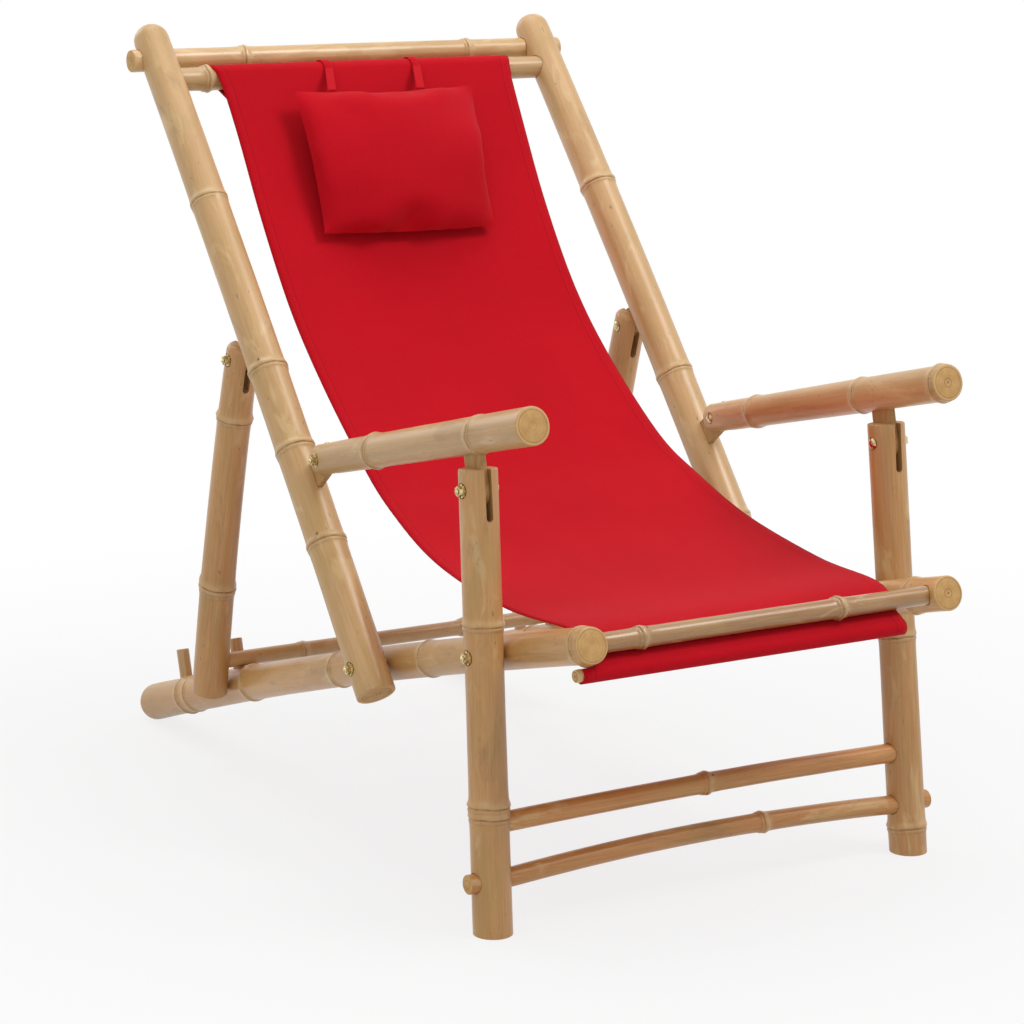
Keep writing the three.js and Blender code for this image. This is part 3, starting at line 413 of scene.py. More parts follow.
class Cane:
    """A cane along z: radii at its start, middle and end, nodes as shares of its length, a bow toward y
    between straight ends, and how far the two ends are rounded."""

    def __init__(self, length, radii, nodes=(), bow=0.0, straight=0.0, start=1.4, end=1.4, seed=0.0,
                 swell=1.3):
        self.length, self.radii, self.nodes = length, radii, [share * length for share in nodes]
        self.bow, self.straight, self.start, self.end = bow, straight, start, end
        self.seed, self.swell = seed, swell

    def grown(self, nodes, seed):
        """The same cane with nodes and unevenness of its own."""
        return Cane(self.length, self.radii, nodes, self.bow, self.straight, self.start, self.end, seed)

    def radius(self, z):
        share = min(max(z / self.length, 0), 1)
        first, middle, last = self.radii
        if share > 0.5:
            return middle + (last - middle) * (2 * share - 1)
        return first + (middle - first) * 2 * share

    def offset(self, z):
        share = min(max((z - self.straight) / (self.length - 2 * self.straight), 0), 1)
        return 4 * self.bow * share * (1 - share)

    def rounding(self, z):
        fall = 0.0
        for depth, size in ((z, self.start), (self.length - z, self.end)):
            if depth < size:
                fall += size - sqrt(max(size * size - (size - depth) ** 2, 0))
        return fall

    def node_lift(self, z):
        """The rings of the nodes: a ridge, a groove and a lip below it, on a gentle swelling."""
        lift = 0.0
        for number, place in enumerate(self.nodes):
            gap = z - place
            size = self.swell * (1 + 0.25 * sin(3.7 * number + self.seed))
            lift += size * (hump(gap, 0.8, 3.6) + 0.45 * hump(gap, -4.4, 1.7) + 0.4 * hump(gap, 0, 10))
            lift -= 0.85 * hump(gap, GROOVE_AT, 0.8)
        return lift

    def scar(self, z, angle):
        """How far a place is in the scar of a branch, which sits just above every other node."""
        found = 0.0
        for number, place in enumerate(self.nodes):
            if (number + int(self.seed)) % 2:
                continue
            turn = (angle - 2.4 * self.seed - number * pi + pi) % (2 * pi) - pi
            found = max(found, hump(z - place, 6, 4.2) * hump(turn * self.radius(z), 0, 3.6))
        return found

    def rough(self, z, angle, turn, along, shift=0):
        """Smooth noise over the skin, which closes on itself round the cane."""
        return wave(cos(angle) * turn, sin(angle) * turn, z * along + self.seed + shift)

    def uneven(self, z, angle):
        return self.rough(z, angle, 2.2, 0.004, 80)

    def tilt(self, z, angle):
        """How far the skin by a node lies further up the cane, because the rings aren't quite level."""
        near = min((abs(z - place) for place in self.nodes), default=NODE_REACH)
        askew = 1.2 * sin(angle + self.seed * 5) + 1.1 * self.uneven(z, angle)
        return max(1 - near / NODE_REACH, 0) * askew

    def skin(self, z, angle):
        """The radius with all that grows on it."""
        grown = self.node_lift(z) * (1 + 0.5 * self.uneven(z, angle)) + 1.1 * self.scar(z, angle)
        waves = 0.35 * self.rough(z, angle, 0.7, 0.006) + 0.12 * self.rough(z, angle, 1.6, 0.03, 40)
        return self.radius(z) - self.rounding(z) + grown + waves

    def stations(self):
        """The places of the rows of points, closer together at the nodes and the rounded ends."""
        steps = max(int(self.length / ROW_STEP), 4)
        found = {round(self.length * i / steps, 3) for i in range(1, steps)}
        for place in self.nodes:
            found = {z for z in found if abs(z - place) > NODE_REACH}
            found |= {round(place + gap, 3) for gap in NODE_ROWS}
        for size, base, way in ((self.start, 0, 1), (self.end, self.length, -1)):
            count = 6 if size > 3 else 4
            found |= {round(base + way * size * (1 - sin(pi / 2 * i / count)), 3) for i in range(count + 1)}
        return sorted(z for z in found if 0 <= z <= self.length)


def new_mesh(name, points, faces):
    mesh = bpy.data.meshes.new(name)
    mesh.from_pydata(points, [], faces)
    mesh.update()
    return mesh


def smooth(mesh, material):
    for face in mesh.polygons:
        face.use_smooth = True
    mesh.materials.append(material)


def link(name, mesh, matrix=IN_PLACE):
    """A new object with its mesh in metres and its matrix given in millimetres."""
    made = add(name, mesh)
    place = matrix.copy()
    place.translation = matrix.translation * MM
    made.matrix_world = place
    return made


def cane_mesh(name, cane, sides):
    rows = cane.stations()
    points, faces = [], []
    for z in rows:
        for side in range(sides):
            angle = 2 * pi * side / sides
            radius = cane.skin(z, angle)
            points.append(Vector((radius * cos(angle), cane.offset(z) + radius * sin(angle),
                                  z + cane.tilt(z, angle))) * MM)
    for row in range(len(rows) - 1):
        for side in range(sides):
            a = row * sides + side
            b = row * sides + (side + 1) % sides
            faces.append((a, b, b + sides, a + sides))
    last = (len(rows) - 1) * sides
    faces += [tuple(reversed(range(sides))), tuple(range(last, last + sides))]
    return new_mesh(name, points, faces)


def edit(mesh, change):
    """Changes a mesh through bmesh."""
    work = bmesh.new()
    work.from_mesh(mesh)
    change(work)
    work.to_mesh(mesh)
    work.free()
    return mesh


def sharpen(mesh, limit):
    """Edges turned by more than the limit, in degrees, stay sharp."""
    def mark(work):
        for edge in work.edges:
            edge.smooth = edge.calc_face_angle(0) < deg(limit)
    edit(mesh, mark)


def finish_cane(piece, cane, body, node, skin):
    """Sorts the faces into skin, sawn end and raw cut, marks the nodes and hands the piece over."""
    mesh = piece.data
    mesh.materials.clear()
    for material in (skin, END, RAW):
        mesh.materials.append(material)
    for face in mesh.polygons:
        x, y, z = (value / MM for value in face.center)
        sunk = cane.radius(z) - hypot(x, y - cane.offset(z))
        sawn = abs(face.normal.z) > 0.95 and (z < 0.8 or z > cane.length - 0.8)
        raw = sunk > 1.6 and 2 + cane.start <= z <= cane.length - 2 - cane.end
        face.material_index = 1 if sawn else 2 if raw else 0
        face.use_smooth = True
    marks = {name: mesh.attributes.new(name, "FLOAT", "POINT") for name in ("ring", "band", "scar")}
    for vertex in mesh.vertices:
        x, y, z = (value / MM for value in vertex.co)
        angle = atan2(y - cane.offset(z), x)
        z -= cane.tilt(z, angle)
        dark = pale = 0.0
        for place in cane.nodes:
            gap = z - place
            dark = max(dark, hump(gap, GROOVE_AT, 0.85), 0.4 * hump(gap, -6.2, 0.9))
            pale = max(pale, hump(gap, 2, 5))
        for name, value in (("ring", dark), ("band", pale), ("scar", cane.scar(z, angle))):
            marks[name].data[vertex.index].value = value
    sharpen(mesh, 38)
    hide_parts(node)
    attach(piece, body)


def cut(piece, cutters):
    """Takes closed meshes out of a piece. Each comes with its matrix in millimetres."""
    bpy.context.view_layer.update()
    tools = []
    for number, (mesh, matrix) in enumerate(cutters):
        tools.append(link(f"cutter_{number}", mesh, matrix))
        change = piece.modifiers.new("cut", "BOOLEAN")
        change.operation = "DIFFERENCE"
        change.solver = "EXACT"
        change.object = tools[-1]
    bpy.context.view_layer.update()
    graph = bpy.context.evaluated_depsgraph_get()
    final = bpy.data.meshes.new_from_object(piece.evaluated_get(graph))
    piece.modifiers.clear()
    piece.data = final
    for tool in tools:
        bpy.data.objects.remove(tool)


def make_cane(node, body, cane, matrix, cutters=(), skin=POLE, sides=40):
    piece = link(f"{node}_cane", cane_mesh(node, cane, sides), matrix)
    if cutters:
        cut(piece, cutters)
    finish_cane(piece, cane, body, node, skin)


def even(radius):
    return radius, radius, radius


def make_rod(node, body, place, half, y, z, radii, nodes, seed, skin=ROD, bow=0.0, straight=0.0):
    """A cane laid across, from x = -half to x = +half, bowed upward."""
    cane = Cane(2 * half, radii, nodes, bow, straight, seed=seed, swell=1.7)
    matrix = spot(place, -half, y, z) @ TO_X
    if bow:
        matrix = matrix @ TURNED
    make_cane(node, body, cane, matrix, skin=skin, sides=32)


# Cutters, each a closed mesh and its matrix

def plate_mesh(outline, thickness, name="plate"):
    """A closed plate: an outline of (y, z) points, given a thickness along x."""
    count = len(outline)
    points = [Vector((side * thickness / 2, y, z)) * MM for side in (-1, 1) for y, z in outline]
    faces = [tuple(reversed(range(count))), tuple(range(count, 2 * count))]
    for i in range(count):
        j = (i + 1) % count
        faces.append((i, j, count + j, count + i))
    return edit(new_mesh(name, points, faces),
                lambda work: bmesh.ops.recalc_face_normals(work, faces=work.faces))


def slot_outline(width, reach, steps=12):
    """A slot closed by a round end at the origin and open toward +z."""
    round_end = [(width / 2 * cos(a), width / 2 * sin(a))
                 for a in (pi + pi * i / steps for i in range(steps + 1))]
    return [(-width / 2, reach)] + round_end + [(width / 2, reach)]


def fork_slot(place):
    """A slot for a tongue, open toward +z, with the middle of its round end at the place."""
    return plate_mesh(slot_outline(FORK, 80), 80, "fork"), place @ TURNED


def tongue_seat(place, depth, height):
    """A pocket for a tongue, with its middle at the place."""
    y, z = depth / 2, height / 2
    return plate_mesh([(-y, -z), (y, -z), (y, z), (-y, z)], TONGUE + 2 * FIT, "block"), place


def hole(radius, reach, place, x, y, z):
    """A round hole along x, with its middle at x, y, z."""
    def build(work):
        bmesh.ops.create_cone(work, cap_ends=True, segments=32, radius1=radius * MM, radius2=radius * MM,
                              depth=reach * MM)
        bmesh.ops.rotate(work, verts=work.verts, matrix=TO_X.to_3x3())
    return edit(bpy.data.meshes.new("rod_cutter"), build), spot(place, x, y, z)


def socket(radius, reach, place, sign, end, y, z):
    """A hole for a rod's end, open toward the middle of the chair, with its bottom at x = end."""
    return hole(radius, reach, place, sign * (end - reach / 2), y, z)


def bolt_holes(place, sign, half, y, z, radius, head=True, nut=True):
    """A bolt's bore, and the flats for its washer outside and its nut inside."""
    flat, past = radius - SINK, POCKET_REACH / 2
    cuts = [hole(BOLT_BORE, BORE_REACH, place, sign * half, y, z)]
    if head:
        cuts.append(hole(HEAD_POCKET, POCKET_REACH, place, sign * (half + flat + past), y, z))
    if nut:
        cuts.append(hole(NUT_POCKET, POCKET_REACH, place, sign * (half - flat - past), y, z))
    return cuts


FLOOR = (plate_mesh([(-2000, -400), (2000, -400), (2000, 0), (-2000, 0)], 1400, "floor_cutter"), IN_PLACE)

# Seat frame
RAIL_HALF, RAIL_SLOPE = 225.5, deg(16.4)
KNEE_AT, HIP_AT, PROP_STOP_AT, FRONT_BAR_AT = 145, 398, 799, 18
FRONT_BAR_RADIUS, HEM_RADIUS, PROP_BAR_RADIUS = 10.5, 6.5, 9.5
PEG_RADIUS, PEG_STEP, PEG_LENGTH = 8, 80, 48
HEM_SHORT = 74  # how much shorter the hem rod is at its far end
RAIL_NODES = {"right": (0.0125, 0.3, 0.496, 0.7125, 0.867, 0.888), "left": (0.05, 0.34, 0.58, 0.79, 0.93)}

rail = Cane(1092, (19, 20, 23.5), bow=-10, end=15)


def rail_centre(y):
    return -rail.offset(y)


pivots = {joint["name"]: Vector(joint["pos_m"]) / MM for joint in frame["joints"]}
hip, knee, elbow, prop_pivot = (pivots[name] for name in ("back_tilt", "leg_fold", "arm_fold", "prop_swing"))
seat = lean(-RAIL_SLOPE, hip - lean(-RAIL_SLOPE, (0, 0, 0)) @ Vector((0, HIP_AT, rail_centre(HIP_AT))))

bar_z = rail_centre(FRONT_BAR_AT) + 0.5
bar_half = RAIL_HALF - rail.radius(FRONT_BAR_AT) + SEAT
hem_z = rail_centre(FRONT_BAR_AT) - rail.radius(FRONT_BAR_AT) - NODE_RISE - CLOTH - 3 * FIT - HEM_RADIUS
hem_half = RAIL_HALF + 14
for number, (hand, sign) in enumerate(SIDES):
    tools = [FLOOR, socket(FRONT_BAR_RADIUS + ROOM, 40, seat, sign, bar_half + FIT, FRONT_BAR_AT, bar_z)]
    for at in (KNEE_AT, HIP_AT):
        tools += bolt_holes(seat, sign, RAIL_HALF, at, rail_centre(at), rail.radius(at), head=False)
    make_cane(f"rail_{hand}", "seat_frame", rail.grown(RAIL_NODES[hand], 1.7 + number),
              spot(seat, sign * RAIL_HALF, 0, 0) @ TO_Y, tools, skin=RAIL)
    for peg in range(3):
        at = PROP_STOP_AT + PROP_BAR_RADIUS + 2 * FIT + PEG_RADIUS + PEG_STEP * peg
        root = rail_centre(at) + rail.radius(at) - SEAT
        make_cane(f"prop_peg_{peg + 1}_{hand}", "seat_frame",
                  Cane(PEG_LENGTH, even(PEG_RADIUS), seed=peg + 3.3 * number + 9),
                  spot(seat, sign * RAIL_HALF, at, root), skin=ROD, sides=24)

# The front crossbar takes the darker skin, which paints shade onto it.
make_rod("front_crossbar", "seat_frame", seat, bar_half, FRONT_BAR_AT, bar_z,
         even(FRONT_BAR_RADIUS), (0.14, 0.71), 4.2, skin=BAR_PAINTED_SHADE)
make_cane("hem_rod", "seat_frame", Cane(2 * hem_half - HEM_SHORT, even(HEM_RADIUS), seed=5.6),
          spot(seat, -hem_half, FRONT_BAR_AT, hem_z) @ TO_X,
          skin=ROD, sides=24)

# Back frame
BACK_LEAN = deg(39.1)
POLE_FOOT = 34  # length of the pole below the hip
HOOK_AT, HOOK_BACK, SLING_ROD_AT = 824, 9.5, 787
ELBOW_AT, PROP_AT = 228, 423
TOP_ROD_RADIUS, SLING_ROD_RADIUS = 13.5, 14
POLE_NODES = {"right": (0.207, 0.34, 0.457, 0.716), "left": (0.17, 0.3965, 0.706)}

back = lean(-BACK_LEAN, hip)
pole = Cane(900, (22.3, 22, 21.3), bow=-7, end=20)
pole_shift = -pole.offset(POLE_FOOT)


def pole_centre(z):
    return pole_shift + pole.offset(z + POLE_FOOT)


def pole_radius(z):
    return pole.radius(z + POLE_FOOT)


POLE_HALF = RAIL_HALF + rail.radius(HIP_AT) + 2 + pole_radius(0)
ELBOW_HALF = POLE_HALF - 3.5
rod_half = POLE_HALF - pole_radius(SLING_ROD_AT) + SEAT
top_half = POLE_HALF + 31.5
seat_depth = 40
elbow_root = pole_centre(ELBOW_AT) - pole_radius(ELBOW_AT) + SEAT + FIT - seat_depth / 2
prop_root = pole_centre(PROP_AT) + pole_radius(PROP_AT) - SEAT - FIT + seat_depth / 2
for number, (hand, sign) in enumerate(SIDES):
    notch = spot(back, sign * POLE_HALF, HOOK_BACK, HOOK_AT) @ TO_Y
    tools = [(plate_mesh(slot_outline(2 * TOP_ROD_RADIUS + 1, 43), 90, "notch"), notch),
             socket(SLING_ROD_RADIUS + ROOM, SOCKET_REACH, back, sign, rod_half, pole_centre(SLING_ROD_AT),
                    SLING_ROD_AT)]
    tools += bolt_holes(back, sign, POLE_HALF, 0, 0, pole_radius(0), nut=False)
    for half, y, at in ((ELBOW_HALF, elbow_root, ELBOW_AT), (POLE_HALF, prop_root, PROP_AT)):
        tools.append(tongue_seat(spot(back, sign * half, y, at), seat_depth, 2 * (TONGUE_HALF + FIT)))
    make_cane(f"back_pole_{hand}", "back_frame", pole.grown(POLE_NODES[hand], 12.1 + 1.9 * number),
              spot(back, sign * POLE_HALF, pole_shift, -POLE_FOOT), tools)

make_rod("top_rod", "back_frame", back, top_half, HOOK_BACK, HOOK_AT,
         (TOP_ROD_RADIUS, TOP_ROD_RADIUS, 13.2), (0.25, 0.772), 6.1)
make_rod("sling_rod", "back_frame", back, rod_half, pole_centre(SLING_ROD_AT), SLING_ROD_AT,
         even(SLING_ROD_RADIUS), (0.082,), 7.9)

# Front legs
LEG_LEAN = deg(5.9)
WRIST_AT, UPPER_AT, LOWER_AT = 172, -176, -235  # heights from the knee
LEG_TOP, LEG_SLOT, LEG_SPARE = 21.5, 54, 21  # above the wrist, from the top, and below the floor
LEG_RADIUS, LEG_WIDE = 20.5, 21
UPPER_RADIUS, LOWER_RADIUS = 11, 10.5
ARM_TOE, ARM_FRONT = 4.5, 436  # the armrests draw in by the toe before the elbow
LEG_NODES = {"right": (0.286, 0.309, 0.681), "left": (0.1, 0.53)}

legs = lean(-LEG_LEAN, knee)
leg_foot = knee.z / cos(LEG_LEAN) + LEG_SPARE
wrist = legs @ Vector((0, 0, WRIST_AT))
arm_run, arm_rise = elbow.y - wrist.y, wrist.z - elbow.z
WRIST_HALF = ELBOW_HALF - ARM_TOE * hypot(arm_run, arm_rise) / ARM_FRONT
LEG_HALF = RAIL_HALF + rail.radius(KNEE_AT) + 1.0 + LEG_RADIUS
splay = atan2(LEG_HALF - WRIST_HALF, WRIST_AT)
leg = Cane((LEG_TOP + WRIST_AT + leg_foot) / cos(splay), (LEG_WIDE, LEG_RADIUS, LEG_RADIUS))


def leg_half(z):
    return LEG_HALF - z * tan(splay)


upper_half = leg_half(UPPER_AT) - LEG_RADIUS + SEAT
lower_half = leg_half(LOWER_AT) + LEG_WIDE + 8
for number, (hand, sign) in enumerate(SIDES):
    tools = [FLOOR, fork_slot(spot(legs, sign * WRIST_HALF, 0, WRIST_AT + LEG_TOP - LEG_SLOT + FORK / 2))]
    tools += bolt_holes(legs, sign, LEG_HALF, 0, 0, LEG_RADIUS, nut=False)
    tools += bolt_holes(legs, sign, WRIST_HALF, 0, WRIST_AT, LEG_RADIUS)
    tools += [socket(UPPER_RADIUS + ROOM, SOCKET_REACH, legs, sign, upper_half + FIT, 0, UPPER_AT),
              hole(LOWER_RADIUS + ROOM, 120, legs, sign * leg_half(LOWER_AT), 0, LOWER_AT)]
    place = spot(legs, sign * leg_half(-leg_foot), 0, -leg_foot) @ Matrix.Rotation(-sign * splay, 4, "Y")
    make_cane(f"front_leg_{hand}", "front_legs", leg.grown(LEG_NODES[hand], 17.3 + 2.3 * number), place,
              tools, skin=LEG)

for name, half, at, radius, node, bow, seed in (
        ("upper", upper_half, UPPER_AT, UPPER_RADIUS, 0.499, 3, 8.8),
        ("lower", lower_half, LOWER_AT, LOWER_RADIUS, 0.62, 9, 9.4)):
    make_rod(f"stretcher_{name}", "front_legs", legs, half, 0, at, even(radius), (node,), seed,
             skin=STRETCHER, bow=bow, straight=half - leg_half(at) + LEG_WIDE + FIT)

# Armrests
ARM_DROP = 55  # how far the wrist lies below the armrest's middle
ARM_PEG_WIDTH = 32
ARM_NODES = {"right": (0.227, 0.716), "left": (0.022, 0.334, 0.797)}

arm_slope = atan2(arm_rise, arm_run) + asin(ARM_DROP / hypot(arm_run, arm_rise))
arms = lean(-arm_slope, elbow)
arm = Cane(449, (20, 19, 17.5))
arm_peg_at = -sqrt(arm_run ** 2 + arm_rise ** 2 - ARM_DROP ** 2)
peg_root = arm.radius(arm.length + arm_peg_at) - SEAT
for number, (hand, sign) in enumerate(SIDES):
    slot = spot(arms, sign * ELBOW_HALF, -TONGUE_HALF - FORK / 2, 0) @ TO_Y
    tools = [fork_slot(slot)] + bolt_holes(arms, sign, ELBOW_HALF, 0, 0, arm.radii[2])
    tools.append(tongue_seat(spot(arms, sign * WRIST_HALF, arm_peg_at, FIT - peg_root - seat_depth / 2),
                             ARM_PEG_WIDTH + 2 * FIT, seat_depth))
    place = (spot(arms, sign * (ELBOW_HALF - ARM_TOE), -ARM_FRONT, 0) @ TO_Y
             @ Matrix.Rotation(sign * atan2(ARM_TOE, ARM_FRONT), 4, "Y"))
    make_cane(f"armrest_{hand}", "armrests", arm.grown(ARM_NODES[hand], 23.9 + 1.3 * number), place, tools)

# Props
PROP_FOOT, PROP_TOP, PROP_SLOT = 39, 19, 37  # below the crossbar, above the pivot, below the pivot
PROP_NODES = {"right": (0.3, 0.315, 0.794), "left": (0.164, 0.666)}

rest = seat @ Vector((0, PROP_STOP_AT, rail_centre(PROP_STOP_AT) + rail.radius(PROP_STOP_AT)
                      + PROP_BAR_RADIUS + 2 * FIT))
reach = hypot(prop_pivot.y - rest.y, prop_pivot.z - rest.z)
props = lean(atan2(rest.y - prop_pivot.y, prop_pivot.z - rest.z), prop_pivot)
prop = Cane(reach + PROP_FOOT + PROP_TOP, (21.5, 20.5, 19.5), bow=8, end=8)
prop_shift = -prop.offset(reach + PROP_FOOT)
prop_half = POLE_HALF - prop.radii[0] + SEAT
for number, (hand, sign) in enumerate(SIDES):
    tools = [fork_slot(spot(props, sign * POLE_HALF, 0, FORK / 2 - PROP_SLOT))]
    tools += bolt_holes(props, sign, POLE_HALF, 0, 0, prop.radii[2])
    tools.append(socket(PROP_BAR_RADIUS + 0.4, SOCKET_REACH, props, sign, prop_half + FIT, 0, -reach))
    make_cane(f"prop_{hand}", "prop_frame", prop.grown(PROP_NODES[hand], 31.2 + 1.1 * number),
              spot(props, sign * POLE_HALF, prop_shift, -reach - PROP_FOOT), tools, skin=LEG)
make_rod("prop_crossbar", "prop_frame", props, prop_half, 0, -reach,
         even(PROP_BAR_RADIUS), (0.221, 0.66), 10.7)


# Nails over the elbow tongues
def nail(name, body, matrix):
    def build(work):
        bmesh.ops.create_uvsphere(work, u_segments=20, v_segments=10, radius=2.7 * MM)
        for vertex in work.verts:
            vertex.co.z *= 0.45
    mesh = edit(bpy.data.meshes.new(name), build)
    smooth(mesh, ZINC)
    piece = link(name, mesh, matrix)
    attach(piece, body)


for hand, sign in SIDES:
    nail(f"arm_nail_{hand}", "armrests", spot(arms, sign * (ELBOW_HALF + 2.5), -6, arm.radius(443) - 0.1))

# Bolts, nuts and tongues keep the model's shape
for name, node in frame["nodes"].items():
    if node.hide_render or name in ("sling", "head_pillow") or name.startswith("pillow_strap"):
        continue
    node.data.materials.clear()
    node.data.materials.append(ZINC if name.startswith(("bolt_", "nut_")) else SPLIT)
    for face in node.data.polygons:
        face.material_index = 0


# Canvas

def arc(centre, radius, start, stop, steps):
    return [Vector((centre[0] + radius * cos(a), centre[1] + radius * sin(a)))
            for a in (start + (stop - start) * i / steps for i in range(steps + 1))]


def spline(points, steps):
    """A Catmull-Rom curve through the points, in even steps of its parameter."""
    found = []
    for i in range(steps + 1):
        place = (len(points) - 1) * i / steps
        at = min(int(place), len(points) - 2)
        t = place - at
        p1, p2 = points[at], points[at + 1]
        p0 = points[at - 1] if at > 0 else p1
        p3 = points[at + 2] if at + 2 < len(points) else p2
        v0, v1 = (p2 - p0) * 0.5, (p3 - p1) * 0.5
        square = -3 * p1 + 3 * p2 - 2 * v0 - v1
        found.append((2 * p1 - 2 * p2 + v0 + v1) * t ** 3 + square * t * t + v0 * t + p1)
    return found


def side(place, y, z):
    return (place @ Vector((0, y, z))).yz


def normal_at(path, at):
    along = (path[min(at + 1, len(path) - 1)] - path[max(at - 1, 0)]).normalized()
    return Vector((-along.y, along.x))


def runs_along(path):
    """The length of a path up to each of its points."""
    found = [0.0]
    for a, b in zip(path, path[1:]):
        found.append(found[-1] + (b - a).length)
    return found


def cloth(name, points, uvs, row, material):
    """A sheet through rows of points, with its flat pattern as UV and the thickness of canvas."""
    faces = [(a, a + 1, a + 1 + row, a + row)
             for start in range(0, len(points) - row, row) for a in range(start, start + row - 1)]
    mesh = new_mesh(name, points, faces)
    layer = mesh.uv_layers.new(name="cloth")
    for loop in mesh.loops:
        layer.data[loop.index].uv = uvs[loop.vertex_index]
    smooth(mesh, material)
    sheet = link(name, mesh)
    thick = sheet.modifiers.new("thick", "SOLIDIFY")
    thick.thickness = CLOTH * MM
    thick.offset = 0
    return sheet


# The sling from the side: sleeve, hollow, over the crossbar and round the hem rod
FINE = 8  # points of the route in one of its steps
HOLLOW = 26  # steps of the hollow
TAIL_SLOPE = deg(57.4)
QUARTER = deg(90)
DROPS = ((0.064, 0.0345), (0.174, 0.0925), (0.291, 0.14), (0.401, 0.1625), (0.532, 0.1705),
         (0.618, 0.157), (0.729, 0.1271), (0.861, 0.0688), (0.957, 0.0115))

sling_rod = side(back, pole_centre(SLING_ROD_AT), SLING_ROD_AT)
front_bar = side(seat, FRONT_BAR_AT, bar_z)
hem_rod = side(seat, FRONT_BAR_AT, hem_z)
wrap = 2 * FIT + CLOTH / 2
sleeve_radius = SLING_ROD_RADIUS + wrap
down = Vector((-cos(TAIL_SLOPE), -sin(TAIL_SLOPE)))
behind = Vector((-down.y, down.x))
tail_seam = down * 44 + behind * (3 - sleeve_radius)
tail_angle = atan2(tail_seam.y, tail_seam.x) + acos(sleeve_radius / tail_seam.length)
sleeve = arc(sling_rod, sleeve_radius, tail_angle, TAIL_SLOPE + QUARTER, 10 * FINE)
turn_down = arc(front_bar, FRONT_BAR_RADIUS + wrap + NODE_RISE, deg(-25), deg(-61), 3 * FINE)
hem_turn = arc(hem_rod, HEM_RADIUS + wrap, deg(119), deg(395), 10 * FINE)
chord_start, chord_end = sleeve[-1], turn_down[0]
chord = chord_end - chord_start
hollow = [chord_start] + [chord_start + Vector((chord.x * s - chord.y * d, chord.y * s + chord.x * d))
                          for s, d in DROPS] + [chord_end]
join_top = [(sling_rod + tail_seam).lerp(sleeve[0], i / FINE) for i in range(FINE)]
join_hem = [turn_down[-1].lerp(hem_turn[0], i / FINE) for i in range(1, FINE)]
route = join_top + sleeve + spline(hollow, HOLLOW * FINE)[1:] + turn_down[1:] + join_hem + hem_turn

# The width along the route, near side first, as shares of the half width
SLING_HALF = RAIL_HALF - rail.radii[1] - 2.5
WIDTH_STEPS = 500
WIDTHS = ((1.04, 1.045, 0.985, 0.985, 1.065, 1), (1.01, 1, 0.975, 0.977, 0.966, 0.86))
HOLLOW_FROM = 12
TURN_FROM = HOLLOW_FROM + HOLLOW
HEM_NEAR, HEM_FAR = 0.973, 0.718
rail_round = rail.radius(FRONT_BAR_AT)
rail_middle = side(seat, FRONT_BAR_AT, rail_centre(FRONT_BAR_AT))[1]
width_curves = [[p.y for p in spline([Vector((i, share)) for i, share in enumerate(shares)], WIDTH_STEPS)]
                for shares in WIDTHS]


def sling_edges(at, drop):
    """The two edges at a place counted in the route's steps, drop below the middle of the rail."""
    curve_at = min(int(at / TURN_FROM * WIDTH_STEPS), WIDTH_STEPS)
    near, far = (SLING_HALF * curve[curve_at] for curve in width_curves)
    if at > TURN_FROM:
        far = HEM_FAR * hem_half
        if drop < rail_round + 0.9:
            near = max(near, RAIL_HALF - sqrt(max(rail_round ** 2 - drop ** 2, 0)) - CLOTH)
        else:
            near = HEM_NEAR * hem_half
    if at < HOLLOW_FROM:
        tail = min(max((5 - at) / 4, 0), 1)
        lip = sin(pi * min(max((at - 4) / 10, 0), 1)) ** 2
        near += 3 * lip - 14 * tail
        far += 3 * lip - 14 * tail
    return -near, far


def make_sling(across_steps=56):
    """The sling, its length and its area. Its hollow sags, twists and ripples a little."""
    lengths = runs_along(route)
    points, uvs, rims, runs = [], [], [], []
    area = 0.0
    for at, point in enumerate(route):
        normal = normal_at(route, at)
        left, right = sling_edges(at / FINE, rail_middle - point.y)
        if at:
            area += (right - left) * (lengths[at] - lengths[at - 1])
        within = min(max((at / FINE - HOLLOW_FROM) / HOLLOW, 0), 1)
        sag = 10 * sin(pi * within) ** 2
        twist = 9 * sin(pi * max(within - 0.3, 0) / 0.7) ** 2
        free = min(within * 8, (1 - within) * 8, 1)
        for step in range(across_steps + 1):
            v = 2 * step / across_steps - 1
            x = left + (right - left) * step / across_steps
            ripple = 1.1 * wave(v * 2.6, lengths[at] * 0.003, 3.7) * (1 - v * v)
            ripple += 0.3 * wave(v * 8.0, lengths[at] * 0.008, 8.2)
            lift = sag * (1 - v * v) + twist * ((1 - v) / 2) ** 2 + ripple * free
            points.append(Vector((x, *(point + normal * lift))) * MM)
            uvs.append((x * MM, lengths[at] * MM))
            rims.append((right - left) / 2 * (1 - abs(v)) * MM)
            runs.append(lengths[at] * MM)
    sheet = cloth("sling_canvas", points, uvs, across_steps + 1, SHEET)
    for name, values in (("rim", rims), ("run", runs)):
        sheet.data.attributes.new(name, "FLOAT", "POINT").data.foreach_set("value", values)
    return sheet, lengths[-1], area


sling, sling_length, sling_area = make_sling()
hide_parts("sling")
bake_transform(sling)

# Head pillow
PILLOW_WIDTH, PILLOW_HEIGHT, PILLOW_FRONT, PILLOW_REAR = 250, 187, 40, 14
PILLOW_LEAN = deg(25.7)
COLUMNS, ROWS = 60, 46
PUFF_FRAMES = 24
CORNERS = {(-1, -1): (-129, -91), (1, -1): (108, -95), (-1, 1): (-127, 91), (1, 1): (121, 90)}
pillow_up = Vector((sin(PILLOW_LEAN), cos(PILLOW_LEAN)))
pillow_middle = sling_rod - Vector((57, 12)) - pillow_up * PILLOW_HEIGHT / 2


def pillow_share(column, row):
    return 2 * column / COLUMNS - 1, 2 * row / ROWS - 1


